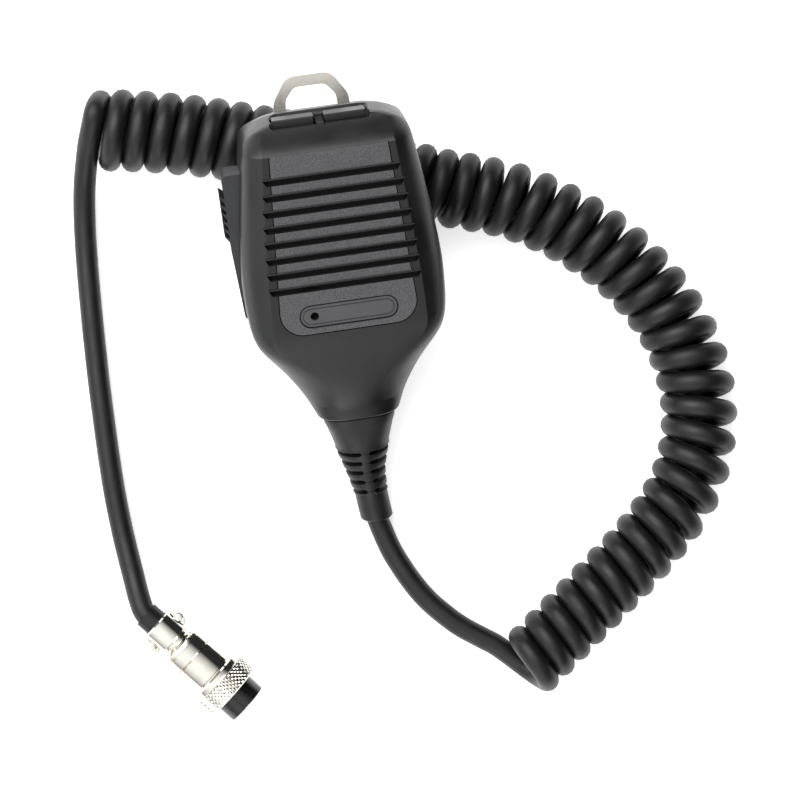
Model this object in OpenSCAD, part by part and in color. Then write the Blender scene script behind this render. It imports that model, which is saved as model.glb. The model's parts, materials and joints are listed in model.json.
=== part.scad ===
// Hand microphone for a radio: two-part case, press-to-talk lever, two top
// buttons, hanging loop, curly cord and a round locking plug. It lies face up,
// its upper end propped on its own coiled cord. +Z is up and +Y runs from the
// cord end to the top end of the case. The table is Z = 0.

/* [Case] */
// Length of the case from the neck to the top end
case_len = 88.7; // [84:0.1:106.5]
// Greatest width of the case
case_w = 54.6; // [45.4:0.1:65.6]
// Thickness of the case from back to front
case_t = 30; // [28:0.1:36]
// Height of the seam between the front and rear mouldings
seam_h = 14; // [12.5:0.1:15]
// Wall thickness of both mouldings
wall = 2.2; // [1.8:0.05:2.7]
// Radius of the round neck where the cord leaves
neck_r = 10.1; // [9:0.1:12.2]
// Height of the neck's axis above the back face
neck_h = 12; // [11:0.1:13]
// Tilt of the case where it lies on the coiled cord, in degrees
tilt = 18.5; // [16:0.1:20]

/* [Front] */
// Distance from the top end down to the crease above the panel
crease_drop = 7.8; // [6:0.1:10]
// Width of the bezel beside the panel's lower end
bezel_w = 8.2; // [7:0.1:9.8]
// Height of the panel's lower edge above the neck
panel_low_v = 30.9; // [28:0.1:34]
// Number of louvre slots
slots = 8; // [5:1:8]
// Distance between louvre slots
slot_pitch = 4.28; // [3.6:0.01:4.4]
// Height of the opening of one louvre slot
slot_h = 1.4; // [1:0.1:1.8]
// Distance from the crease down to the first slot
slot_drop = 7; // [6:0.1:8]
// Length of the pill-shaped badge
badge_len = 26.2; // [22:0.1:30]
// Height of the pill-shaped badge
badge_h = 5.8; // [5:0.1:7]
// Height of the badge's centre above the neck
badge_v = 36; // [35:0.1:37]
// Radius of the microphone hole
mic_hole_r = 1.15; // [0.8:0.05:1.6]

/* [Top buttons] */
// Width of one button
button_w = 10.6; // [9:0.1:11.5]
// Depth of one button from front to back
button_d = 5.2; // [4.4:0.1:5.6]
// Gap between the two buttons
button_gap = 3.2; // [2.4:0.1:5]
// Travel of a button
button_travel = 0.6; // [0.4:0.05:0.8]
// Clearance round a button in its pocket
button_clear = 0.6; // [0.3:0.05:0.9]
// Sideways offset of the pocket from the middle of the case
pocket_x = -1; // [-1.5:0.1:1.5]

/* [Press-to-talk lever] */
// Length of the lever
lever_len = 40.4; // [34:0.1:42]
// Height of the lever's lower end above the neck
lever_v = 34.5; // [33:0.1:36]
// Width of the lever's face, from back to front
lever_w = 10.8; // [9:0.1:12.9]
// How far the lever's upper end stands out of the case
lever_proud = 4.9; // [3.5:0.1:6]
// Radius of the lever's pivot pin
pin_r = 1; // [0.8:0.05:1.2]
// Radial clearance of the pivot pin in the lever
pin_clear = 0.05; // [0.03:0.01:0.08]
// Number of grip ridges on the lever
ridges = 6; // [3:1:7]

/* [Hanging loop] */
// Width across the loop's legs
loop_w = 21.4; // [19:0.1:23]
// Width of the loop's band
loop_band = 3.3; // [2.6:0.1:3.8]
// Thickness of the loop's sheet
loop_t = 1.2; // [0.8:0.1:1.5]
// How far the loop stands beyond the top end of the case
loop_rise = 6.8; // [5:0.1:8]
// Sideways offset of the loop from the middle of the case
loop_x = -1.4; // [-2:0.1:2]

/* [Strain relief and cord] */
// Length of the strain relief outside the neck
boot_len = 30.5; // [24:0.1:36]
// Radius of the strain relief's end sleeve
boot_end_r = 4.6; // [4:0.1:5.4]
// Diameter of the cord
cord_d = 6.2; // [5:0.1:6.6]

/* [Plug] */
// Outer diameter of the knurled coupling ring
ring_d = 18.2; // [17.6:0.1:22]
// Length of the coupling ring
ring_len = 7.4; // [6.6:0.1:9]
// Outer diameter of the plug's barrel
barrel_d = 13.8; // [13.6:0.1:15.6]
// Diameter of the contact insert
insert_d = 12.1; // [10.2:0.1:12.4]
// How far the contact insert stands out of the ring
insert_proud = 5.2; // [4:0.1:7]
// Radius of the coupling ring's thread
thread_r = 7.6; // [7.45:0.01:7.9]

/* [Hidden] */

black = "#1b1c1f";
rubber = "#141517";
nickel = "#c9c7bf";
steel = "#b9b6ae";
green = "#1f5a3c";

eps = 0.01;
half_w = case_w / 2;
panel_half = half_w - bezel_w;
front_in = case_t - wall;
sink = 0.8;

// Place of the case: the lower end of the strain relief touches the table and
// the case's box is centred on the origin.
mic_x = 1.4;
mic_y = -28.2;
mic_z = boot_len * sin(tilt) - (neck_h - boot_end_r) * cos(tilt);

// Top end: the crease, the front lip of the button pocket and the pocket.
crease_v = case_len - crease_drop;
lip_v = case_len - 0.8;
pocket_floor = case_len - 4.3;
pocket_low = seam_h + 1.5;
pocket_high = pocket_low + button_d + 2 * button_clear;
lip_h = pocket_high + 1.4;
pocket_half = button_w + button_gap / 2 + button_clear;
pocket_wall = 1.8;
button_at = (button_w + button_gap) / 2;
button_h = (pocket_low + pocket_high) / 2;
button_top = case_len - 0.4;
button_base = pocket_floor + button_travel + 0.2;

// Stem, push switch and board under each button.
stem_r = 1.5;
stem_clear = 0.1;
stem_end = pocket_floor - pocket_wall - 1.7;
plunger_r = 1.7;
switch_w = 6;
switch_t = 3.5;
switch_v = stem_end - 1.3 - switch_t;
board_t = 1.6;

// Pivot and opening of the press-to-talk lever.
pivot_v = lever_v + 2.5;
pivot_u = -(half_w - 2.7);
lever_top = lever_v + lever_len;
lever_in = -(half_w - 4.7);
lever_mid = seam_h;
lever_gap = 0.6;
switch_contact_v = pivot_v + 21;
contact_h = seam_h - 0.4;

// Main board on its posts.
board_h = 7;
board_half = half_w - 10.3;
board_v0 = 40;
board_v1 = switch_v - board_t - 1.8;
post_u = board_half - 3.5;
board_screw_r = 0.9;

// Screws that hold the case together.
screw_r = 1.4;
screw_boss = 3.2;
top_screw = [half_w - 9, crease_v - 0.4];
low_screw = [half_w - 13.3, 21];

// Capsule behind the microphone hole.
capsule_r = 4.85;
capsule_boss_r = capsule_r + 2.8;
capsule_at = [-(badge_len / 2 - 3.8), badge_v];

// Plug, measured along its axis from the rear of the cable clamp.
plug_at = [-62.5, -81.8];
plug_yaw = -50;
clamp_len = 7;
shoulder_at = 9.6;
groove_at = 13.3;
ring_at = 20.9;
ring_end = ring_at + ring_len;
flange_at = ring_at + 2.3;
insert_end = ring_end + insert_proud;
sleeve_back = 4.5;
sleeve_front = 5;
neck_of_barrel = barrel_d / 2 - 0.5;
clamp_screw_y = 5.55;
pipe_r = cord_d / 2 + 0.7;
contact_ring_r = 5;

// The straight lead from the strain relief to the coil, as x, y and height.
lead_in_route = [
    [4, -65.5, 3.4], [5.6, -71, 3.1], [7.7, -76, 3.1], [10.2, -81, 3.1],
    [13.3, -86, 3.1], [17, -90.5, 3.1], [22, -95.5, 3.1], [28, -100, 3.1],
    [32, -103, 3.1]
];
// The middle of the coil, as x, y and outer radius; it lies on the table.
coil_route = [
    [36, -111.5, 10.2], [43, -106.5, 10.3], [62, -93, 10.4], [78, -80, 10.6],
    [90, -66, 10.8], [96.5, -50, 10.9], [97, -33, 11], [90.5, -15, 11],
    [76, 3, 11.1], [55, 18.5, 11.1], [31, 28.5, 11.1], [20, 34.5, 11.1],
    [6, 40.5, 11.2], [-20, 49, 11.4], [-40, 54.5, 11.5], [-61, 58.5, 11.6]
];
// The straight lead from the coil to the plug's sleeve.
lead_out_route = [
    [-57, 66.5, 14], [-58.5, 62, 19], [-60.5, 57, 17], [-62.5, 52, 12.5],
    [-65, 43, 7], [-66.5, 34, 4.2], [-67.6, 22.5, 3.1], [-68.3, 11, 3.1],
    [-68.8, 0, 3.1], [-69.2, -11.5, 3.1], [-69.4, -22.5, 3.1], [-69.6, -34, 3.1],
    [-69.5, -45.5, 3.1], [-69.1, -56.5, 3.6], [-68, -67.5, 5.8], [-66.9, -74.5, 8]
];

function unit(v) = v / norm(v);
function turn(a) = a > 180 ? a - 360 : (a < -180 ? a + 360 : a);

// Points of an arc of radius r that rounds the corner b between a and c.
function round_corner(a, b, c, r, n = 6) =
    let (p = unit(a - b), q = unit(c - b), half = acos(p * q) / 2)
    let (mid = b + unit(p + q) * r / sin(half))
    let (s = b + p * r / tan(half) - mid, e = b + q * r / tan(half) - mid)
    let (a0 = atan2(s[1], s[0]), span = turn(atan2(e[1], e[0]) - a0))
    [for (i = [0:n]) mid + r * [cos(a0 + span * i / n), sin(a0 + span * i / n)]];

// A closed outline from corners given as x, y and corner radius.
function rounded(c) = [
    for (i = [0:len(c) - 1])
        let (a = c[(i + len(c) - 1) % len(c)], b = c[i], d = c[(i + 1) % len(c)])
        each (b[2] > 0
            ? round_corner([a[0], a[1]], [b[0], b[1]], [d[0], d[1]], b[2])
            : [[b[0], b[1]]])
];
function mirrored(c) = concat(c, [for (i = [len(c) - 1:-1:0]) [-c[i][0], c[i][1], c[i][2]]]);

// Right-hand corners of the case seen from the front, drawn in by d; the sides
// and the top end are drawn in by a further e.
function case_corners(d, e = 0) = [
    [neck_r - d - e, d, 0],
    [neck_r + 5.1 - d - e, 11.3, 40],
    [half_w - 0.4 - d - e, 29, 12],
    [half_w + 0.3 - d - e, 43, 60],
    [half_w - 5.5 - d - e, case_len - d - e, 6.5 - (d + e) * 0.8]
];
function case_outline(d, e = 0) = rounded(mirrored(case_corners(d, e)));

// Height and inset of the outside's edge bevels, back and front.
edge_steps = [[-1, 3], [3, 0], [case_t - 6, 0], [case_t - 2.2, 1.5], [case_t + 1, 5.9]];

// Corners of the case seen from the side, drawn in by d.
function side_outline(d) = [
    [0, neck_h - neck_r + d], [9, d], [case_len - 2.5 - d, d],
    [case_len - d, seam_h], [lip_v - d, lip_h], [crease_v - d * 0.4, case_t - d],
    [panel_low_v + d * 0.2, case_t - d], [0, neck_h + neck_r - d]
];

// Catmull-Rom curve through the points p, n steps between points.
function curve(p, n) = [
    for (i = [0:len(p) - 2]) for (j = [0:n - 1])
        let (t = j / n, b = p[i], c = p[i + 1])
        let (a = i > 0 ? p[i - 1] : 2 * b - c)
        let (d = i < len(p) - 2 ? p[i + 2] : 2 * c - b)
        (2 * b + (c - a) * t + (2 * a - 5 * b + 4 * c - d) * t * t
            + (3 * b - a - 3 * c + d) * t * t * t) / 2,
    p[len(p) - 1]
];
function along(p, i) = unit(p[min(i + 1, len(p) - 1)] - p[max(i - 1, 0)]);
function side_of(t) = unit(abs(t[2]) < 0.95 ? cross(t, [0, 0, 1]) : cross(t, [0, 1, 0]));

// A round tube along the points p with the radii r.
module tube(p, r, sides = 8) {
    rings = len(p);
    points = [
        for (i = [0:rings - 1])
            let (t = along(p, i), s = side_of(t), u = cross(s, t))
            for (k = [0:sides - 1])
                p[i] + r[i] * (s * cos(360 * k / sides) + u * sin(360 * k / sides))
    ];
    walls = [
        for (i = [0:rings - 2]) for (k = [0:sides - 1])
            let (m = (k + 1) % sides)
            [i * sides + m, (i + 1) * sides + m, (i + 1) * sides + k, i * sides + k]
    ];
    first = [for (k = [sides - 1:-1:0]) k];
    last = [for (k = [0:sides - 1]) (rings - 1) * sides + k];
    polyhedron(points, concat(walls, [first, last]));
}
function same(p, r) = [for (q = p) r];

module mic_pose() { translate([mic_x, mic_y, mic_z]) rotate([tilt, 0, 0]) children(); }
module plug_pose() {
    translate([plug_at[0], plug_at[1], ring_d / 2]) rotate([0, 0, plug_yaw]) children();
}
// A case point in the table's frame.
function posed(p) = [
    p[0] + mic_x,
    mic_y + p[1] * cos(tilt) - p[2] * sin(tilt),
    mic_z + p[1] * sin(tilt) + p[2] * cos(tilt)
];
// A point on the plug's axis, a along it, in the table's frame.
function on_plug(a) = [
    plug_at[0] + a * cos(plug_yaw), plug_at[1] + a * sin(plug_yaw), ring_d / 2
];

// Cylinders along the case's length, the case's width and the plug's axis.
module rod_v(r, v0, v1) { translate([0, v1, 0]) rotate([90, 0, 0]) cylinder(r = r, h = v1 - v0, $fn = 32); }
module rod_u(r, u0, u1) { translate([u0, 0, 0]) rotate([0, 90, 0]) cylinder(r = r, h = u1 - u0, $fn = 32); }
module rod(r, h0, h1) { translate([0, 0, h0]) cylinder(r = r, h = h1 - h0, $fn = 32); }
module block(x0, x1, y0, y1, z0, z1) { translate([x0, y0, z0]) cube([x1 - x0, y1 - y0, z1 - z0]); }

// A solid through the outlines, all with the same number of points, at the heights.
module loft(outlines, heights) {
    n = len(outlines[0]);
    top = len(heights) - 1;
    points = [for (i = [0:top]) for (q = outlines[i]) [q[0], q[1], heights[i]]];
    walls = [
        for (i = [0:top - 1]) for (k = [0:n - 1])
            let (m = (k + 1) % n)
            each [[i * n + m, i * n + k, (i + 1) * n + k], [i * n + m, (i + 1) * n + k, (i + 1) * n + m]]
    ];
    first = [for (k = [0:n - 1]) k];
    last = [for (k = [n - 1:-1:0]) top * n + k];
    polyhedron(points, concat(walls, [first, last]));
}
// The closed form of the case, drawn in by d; the outside has bevelled edges.
module case_form(d) {
    intersection() {
        if (d > 0)
            translate([0, 0, -1]) linear_extrude(case_t + 2) polygon(case_outline(d));
        else
            loft([for (e = edge_steps) case_outline(0, e[1])], [for (e = edge_steps) e[0]]);
        rotate([90, 0, 90]) translate([0, 0, -half_w - 2])
            linear_extrude(case_w + 4) polygon(side_outline(d));
        rotate([-90, 0, 0]) translate([0, -neck_h, -eps]) rotate_extrude($fn = 64)
            polygon([[0, 0], [neck_r - d, 0], [neck_r - d + 60, 60], [neck_r - d + 60, 120], [0, 120]]);
    }
}
module mirror_u() { children(); mirror([1, 0, 0]) children(); }
module at_screws() {
    mirror_u() translate([top_screw[0], top_screw[1], 0]) children();
    mirror_u() translate([low_screw[0], low_screw[1], 0]) children();
}
module pill(length, height, z0, z1) {
    for (s = [-1, 1]) translate([s * (length - height) / 2, badge_v, 0]) rod(height / 2, z0, z1);
    block(-(length - height) / 2, (length - height) / 2,
        badge_v - height / 2, badge_v + height / 2, z0, z1);
}
// Opening in the side wall for the press-to-talk lever.
module lever_opening() {
    block(-half_w - 3, lever_in + 1.6, lever_v - lever_gap, lever_top + lever_gap,
        lever_mid - lever_w / 2 - lever_gap, lever_mid + lever_w / 2 + lever_gap);
}
module pin_boss(z0, z1) { translate([pivot_u, pivot_v, 0]) rod(2.6, z0, z1); }
module pin_bore() { translate([pivot_u, pivot_v, 0]) rod(pin_r, wall + 1, case_t - wall - 3); }

function slot_v(i) = crease_v - slot_drop - i * slot_pitch;
function slot_half(i) = panel_half + 1.6 - 2.25 * pow((slots - 1 - i) / (slots - 1), 2);

module front_shell() {
    difference() {
        case_form(0);
        case_form(wall);
        block(-half_w - 1, half_w + 1, -1, case_len + 1, -2, seam_h);
    }
}
module front_additions() {
    intersection() {
        case_form(0);
        union() {
            block(pocket_x - pocket_half - pocket_wall, pocket_x + pocket_half + pocket_wall,
                pocket_floor - pocket_wall, case_len, seam_h, lip_h);
            at_screws() rod(screw_boss, seam_h, front_in + eps);
            pin_boss(lever_mid + lever_w / 2 + lever_gap, front_in - 0.5);
            translate([capsule_at[0], capsule_at[1], 0]) rod(capsule_boss_r, front_in - 6, front_in + eps);
            block(-neck_r, neck_r, 0, wall, seam_h, neck_h + neck_r);
        }
    }
}
module front_case() {
    color(black) mic_pose() difference() {
        union() {
            front_shell();
            front_additions();
        }
        for (i = [0:slots - 1])
            block(-slot_half(i), slot_half(i), slot_v(i) - slot_h / 2, slot_v(i) + slot_h / 2,
                front_in - 0.5, case_t + 1);
        pill(badge_len + 0.4, badge_h + 0.4, case_t - sink, case_t + 1);
        translate([capsule_at[0], capsule_at[1], 0]) rod(mic_hole_r, front_in - 1, case_t + 1);
        translate([capsule_at[0], capsule_at[1], 0]) rod(capsule_r + 1.65, front_in - 7, front_in);
        block(pocket_x - pocket_half, pocket_x + pocket_half, pocket_floor, case_len + 2,
            pocket_low, pocket_high);
        for (s = [-1, 1]) translate([pocket_x + s * button_at, 0, button_h])
            rod_v(stem_r + stem_clear, pocket_floor - pocket_wall - 1, pocket_floor + 1);
        at_screws() rod(screw_r, seam_h - 1, seam_h + 8);
        lever_opening();
        pin_bore();
        translate([0, 0, neck_h]) rod_v(5.2, -1, wall + 1);
    }
}

module rear_shell() {
    difference() {
        case_form(0);
        case_form(wall);
        block(-half_w - 1, half_w + 1, -1, case_len + 1, seam_h, case_t + 2);
    }
}
module rear_additions() {
    intersection() {
        case_form(0);
        union() {
            at_screws() rod(screw_boss, 0, seam_h);
            pin_boss(wall - eps, lever_mid - lever_w / 2 - lever_gap);
            mirror_u() for (v = [board_v0 + 3, board_v1 - 3])
                translate([post_u, v, 0]) rod(2.3, wall - eps, board_h);
            block(-9, 9, 12.5, 17, 1, neck_h - 1.2);
            block(-neck_r, neck_r, 0, wall, 0, seam_h);
            block(spring_u1, spring_u1 + 1.4, spring_v - 3.5, spring_v + 3.5, wall - eps, seam_h);
            block(-6, 6, plate_v0 + 1, plate_v0 + 11, wall - eps, 4.6);
        }
    }
}
module rear_case() {
    color(black) mic_pose() difference() {
        union() {
            rear_shell();
            rear_additions();
        }
        at_screws() rod(screw_r + 0.2, -1, seam_h + 1);
        at_screws() rod(2.7, -1, 2.6);
        mirror_u() for (v = [board_v0 + 3, board_v1 - 3])
            translate([post_u, v, 0]) rod(board_screw_r, 3, board_h + 1);
        translate([0, 0, neck_h]) rod_v(cord_d / 2 + 0.05, 12, 18);
        for (s = [-1, 1]) translate([s * 6.4, 14.75, 0]) rod(0.9, 4, neck_h);
        translate([0, 0, neck_h]) rod_v(5.2, -1, wall + 1);
        lever_opening();
        pin_bore();
        translate([loop_x, 0, -1]) linear_extrude(loop_t + 1.1) polygon(plate_seat);
        for (s = [-1, 1]) translate([loop_x + s * 4, plate_v0 + 6, 0]) rod(1, 0.5, 5);
    }
}

module badge_plate() {
    color("#202125") mic_pose() difference() {
        union() {
            pill(badge_len, badge_h, case_t - sink, case_t - 0.35);
            pill(badge_len - 1.6, badge_h - 1.6, case_t - sink, case_t - 0.1);
        }
        translate([capsule_at[0], capsule_at[1], 0]) rod(mic_hole_r, front_in - 1, case_t + 1);
    }
}
module louvre_cloth() {
    color("#0c0c0e") mic_pose() difference() {
        translate([0, 0, front_in - 0.55]) linear_extrude(0.5)
            polygon(rounded(mirrored([
                [slot_half(slots - 1) + 0.6, slot_v(slots - 1) - 1.4, 0],
                [slot_half(0) + 0.6, slot_v(0) + 1.4, 0]
            ])));
        translate([capsule_at[0], capsule_at[1], 0])
            rod(capsule_boss_r + 0.05, front_in - 1, case_t);
    }
}
module mic_capsule() {
    color("#a9abb0") mic_pose() translate([capsule_at[0], capsule_at[1], 0])
        rod(capsule_r, front_in - 6.6, front_in - 0.9);
}
module capsule_holder() {
    color(rubber) mic_pose() translate([capsule_at[0], capsule_at[1], 0]) difference() {
        rod(capsule_r + 1.55, front_in - 7.6, front_in - 0.1);
        rod(capsule_r + 0.05, front_in - 6.65, front_in - 0.85);
        rod(2.5, front_in - 8, front_in);
    }
}
module case_screws() {
    color(steel) mic_pose() at_screws() union() {
        rod(screw_r, 2, seam_h + 7);
        rod(2.5, 0.6, 2.6);
    }
}

// Outer edge of the lever seen from the front, from its lower to its upper end.
lever_out = half_w - 5.5 + 2.1 + lever_proud;
lever_outline = rounded([
    [lever_in, lever_v + 0.6, 0.8], [-half_w - 0.2, lever_v, 1.2],
    [-lever_out, lever_top - 15, 30], [-lever_out, lever_top, 1.2],
    [lever_in, lever_top, 0.5]
]);
ridge_pitch = 2.18;
module ptt_lever() {
    color(black) mic_pose() difference() {
        union() {
            translate([0, 0, lever_mid - lever_w / 2]) linear_extrude(lever_w) polygon(lever_outline);
            for (i = [0:ridges - 1]) translate([-lever_out + 0.3, lever_top - 5.4 - i * ridge_pitch, 0])
                translate([0, 0, lever_mid - lever_w / 2]) linear_extrude(lever_w)
                    polygon([[0, 0], [-1.3, 0], [-1.3, -0.4], [0, -ridge_pitch + 0.1]]);
        }
        translate([pivot_u, pivot_v, 0]) rod(pin_r + pin_clear, 0, case_t);
        block(lever_in - 2.6, lever_in + 1, lever_top - 12, lever_top - 2,
            lever_mid - 3.6, lever_mid + 3.6);
    }
}
module ptt_pivot_pin() {
    color(steel) mic_pose() translate([pivot_u, pivot_v, 0]) rod(pin_r, wall + 1, case_t - wall - 3);
}
spring_v = lever_top - 7;
spring_u0 = lever_in - 2.5;
spring_u1 = -board_half - 2;
spring_turns = 5;
spring_path = [
    for (i = [0:spring_turns * 10])
        let (f = i / (spring_turns * 10), a = 36 * i)
        [spring_u0 + 0.4 + (spring_u1 - spring_u0 - 0.8) * f,
            spring_v + 2.2 * cos(a), lever_mid - 0.5 + 2.2 * sin(a)]
];
module ptt_spring() { color(steel) mic_pose() tube(spring_path, same(spring_path, 0.32), 6); }
module ptt_switch() {
    color("#2b2b30") mic_pose() difference() {
        block(0.1 - board_half, 6.4 - board_half,
            switch_contact_v - 6, switch_contact_v + 6, board_h + board_t, contact_h + 4);
        translate([0, switch_contact_v, contact_h]) rod_u(1.35, -board_half - 1, 3.6 - board_half);
    }
}
module ptt_plunger() {
    color("#d8d4c8") mic_pose() translate([0, switch_contact_v, contact_h])
        rod_u(1.3, lever_in + 0.15, 2 - board_half);
}

module top_button(side) {
    color(black) mic_pose() translate([pocket_x + side * button_at, 0, 0]) union() {
        block(-button_w / 2, button_w / 2, button_base, button_top,
            button_h - button_d / 2, button_h + button_d / 2);
        translate([0, 0, button_h]) rod_v(stem_r, stem_end, button_base + eps);
        translate([0, 0, button_h]) rod_v(2.4, stem_end, pocket_floor - pocket_wall - 0.2);
    }
}
module up_button() { top_button(1); }
module down_button() { top_button(-1); }
module switch_plunger(side) {
    color("#e6e2d6") mic_pose() translate([pocket_x + side * button_at, 0, button_h])
        rod_v(plunger_r, switch_v + 2.2, stem_end);
}
module up_plunger() { switch_plunger(1); }
module down_plunger() { switch_plunger(-1); }
module push_switches() {
    color("#3a3a40") mic_pose() for (s = [-1, 1])
        translate([pocket_x + s * button_at, 0, button_h]) difference() {
            block(-switch_w / 2, switch_w / 2, switch_v, switch_v + switch_t,
                -switch_w / 2, switch_w / 2);
            rod_v(plunger_r + 0.05, switch_v + 1.2, switch_v + switch_t + 1);
        }
}
module button_board() {
    color(green) mic_pose() block(pocket_x - 12.5, pocket_x + 12.5,
        switch_v - board_t, switch_v, button_h - 6, button_h + 5);
}

module main_board() {
    color(green) mic_pose() difference() {
        block(-board_half, board_half, board_v0, board_v1, board_h, board_h + board_t);
        mirror_u() for (v = [board_v0 + 3, board_v1 - 3]) translate([post_u, v, 0])
            rod(board_screw_r + 0.2, board_h - 1, board_h + board_t + 1);
    }
}
part_boxes = [
    [-6, 48, 7, 5, 1.6], [4, 50, 5, 5, 1.2], [-6, 57, 3, 6, 1], [1, 58, 4, 4, 2.2],
    [8, 57, 3, 3, 1.4], [-3, 65, 8, 3, 1.5], [8, 63, 2.5, 5, 1.1]
];
module board_components() {
    color("#17181b") mic_pose() for (b = part_boxes)
        block(b[0], b[0] + b[2], b[1], min(b[1] + b[3], board_v1 - 0.5),
            board_h + board_t, board_h + board_t + b[4]);
}
module board_screws() {
    color(steel) mic_pose() mirror_u() for (v = [board_v0 + 3, board_v1 - 3])
        translate([post_u, v, 0]) union() {
            rod(board_screw_r, 3.2, board_h + board_t + eps);
            rod(1.8, board_h + board_t, board_h + board_t + 1.3);
        }
}
module lead_header() {
    color("#e8e4d8") mic_pose()
        block(-5.5, 5.5, board_v0 + 0.6, board_v0 + 5.2, board_h + board_t, board_h + board_t + 3.6);
}

// Hanging loop: a seated plate under the back and a bent-over arch beyond it.
plate_v0 = case_len - 26;
loop_top = case_len + loop_rise;
leg = loop_w / 2;
function loop_outline(d) = rounded(mirrored([
    [leg - 1, plate_v0 + d, 1.5], [leg - d, case_len - 6, 4],
    [leg - 0.6 - d * 1.1, loop_top - 6.2, 5], [leg - 4.4 - d, loop_top - d, 4.4 - d * 0.5]
]));
plate_seat = rounded(mirrored([
    [leg - 0.7, plate_v0 - 0.3, 1.8], [leg + 0.3, case_len - 6, 4], [leg + 0.3, case_len + 2, 0]
]));
loop_hole = rounded(mirrored([
    [leg - loop_band, case_len - 8.5, 2], [leg - loop_band - 0.7, loop_top - 6.5, 3.5],
    [leg - loop_band - 3.6, loop_top - loop_band, 2.2]
]));
module hang_loop() {
    color(nickel) mic_pose() translate([loop_x, 0, 0]) difference() {
        translate([0, 0, 0.05]) linear_extrude(loop_t) polygon(loop_outline(0));
        translate([0, 0, -1]) linear_extrude(loop_t + 2) polygon(loop_hole);
        for (s = [-1, 1]) translate([s * 4, plate_v0 + 6, 0]) rod(1.2, -1, 3);
    }
}
module loop_screws() {
    color(steel) mic_pose() for (s = [-1, 1]) translate([loop_x + s * 4, plate_v0 + 6, 0]) union() {
        rod(1, 0, 4.5);
        rod(2, -0.85, 0.05);
    }
}

// Strain relief: a cone held in the neck, then a run of flexing slots and an end
// sleeve that leans a little towards +X with the cord.
cone_len = 9;
sleeve_lean = 1.5;
boot_path = [
    for (q = [[0, 6], [0, 10], [0.05, 14.5], [0.4, 19], [0.8, 23], [1.1, 26.5], [sleeve_lean, 30.5]])
        [q[0], -q[1] * boot_len / 30.5, neck_h]
];
boot_r = [6.4, 6.4, 5.9, 5.2, boot_end_r + 0.1, boot_end_r, boot_end_r];
module strain_relief() {
    color(rubber) mic_pose() union() {
        tube(boot_path, boot_r, 16);
        translate([0, 0, neck_h]) rotate([-90, 0, 0]) rotate_extrude($fn = 64) polygon([
            [0, -cone_len], [7.2, -cone_len], [8.8, -4], [neck_r - 0.1, 0], [5.1, 0],
            [5.1, wall + 0.1], [6.6, wall + 0.1], [6.6, wall + 2.2], [0, wall + 2.2]
        ]);
    }
}
module cord_tail() {
    color(rubber) mic_pose() translate([0, 0, neck_h]) rod_v(cord_d / 2, wall + 2.2, 20);
}
module cord_clamp() {
    color(steel) mic_pose() difference() {
        union() {
            block(-8.6, 8.6, 12.7, 16.8, neck_h + 0.5, neck_h + 1.9);
            translate([0, 0, neck_h]) rod_v(cord_d / 2 + 1.4, 12.7, 16.8);
        }
        block(-9, 9, 12, 18, neck_h - 6, neck_h + 0.5);
        translate([0, 0, neck_h]) rod_v(cord_d / 2 + 0.05, 12, 18);
        for (s = [-1, 1]) translate([s * 6.4, 14.75, 0]) rod(1.1, neck_h, neck_h + 3);
    }
}
module cord_clamp_screws() {
    color(steel) mic_pose() for (s = [-1, 1]) translate([s * 6.4, 14.75, 0]) union() {
        rod(0.9, 4.4, neck_h + 1.9 + eps);
        rod(1.7, neck_h + 1.9, neck_h + 3.1);
    }
}
wires = 8;
module lead_wires() {
    color("#7d3b32") mic_pose() for (i = [0:wires - 1]) {
        column = i % 4 - 1.5;
        row = i < 4 ? -1 : 1;
        route = curve([
            [column * 1.2, 20, neck_h + row], [column * 1.5, 25, neck_h + row * 1.2],
            [column * 2.2, 34, 12 + row * 1.3], [column * 2.4, board_v0 + 0.6, board_h + board_t + 1.8 + row]
        ], 3);
        tube(route, same(route, 0.5), 6);
    }
}

module cord_lead_in() {
    start = posed([sleeve_lean, -boot_len, neck_h]);
    route = curve(concat([start], lead_in_route), 2);
    color(rubber) tube(route, same(route, cord_d / 2), 8);
}
module cord_coil() {
    route = curve([for (q = coil_route) [q[0], q[1], q[2]]], 2);
    color(rubber) tube(route, [for (q = route) q[2]], 12);
}
module cord_lead_out() {
    route = curve(concat(lead_out_route, [on_plug(-sleeve_back), on_plug(0)]), 2);
    color(rubber) tube(route, same(route, cord_d / 2), 8);
}

module plug_sleeve() {
    color(rubber) plug_pose() difference() {
        rod_u(cord_d / 2 + 0.6, -sleeve_back, sleeve_front);
        rod_u(cord_d / 2 + 0.05, -sleeve_back - 1, sleeve_front + 1);
    }
}
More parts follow.
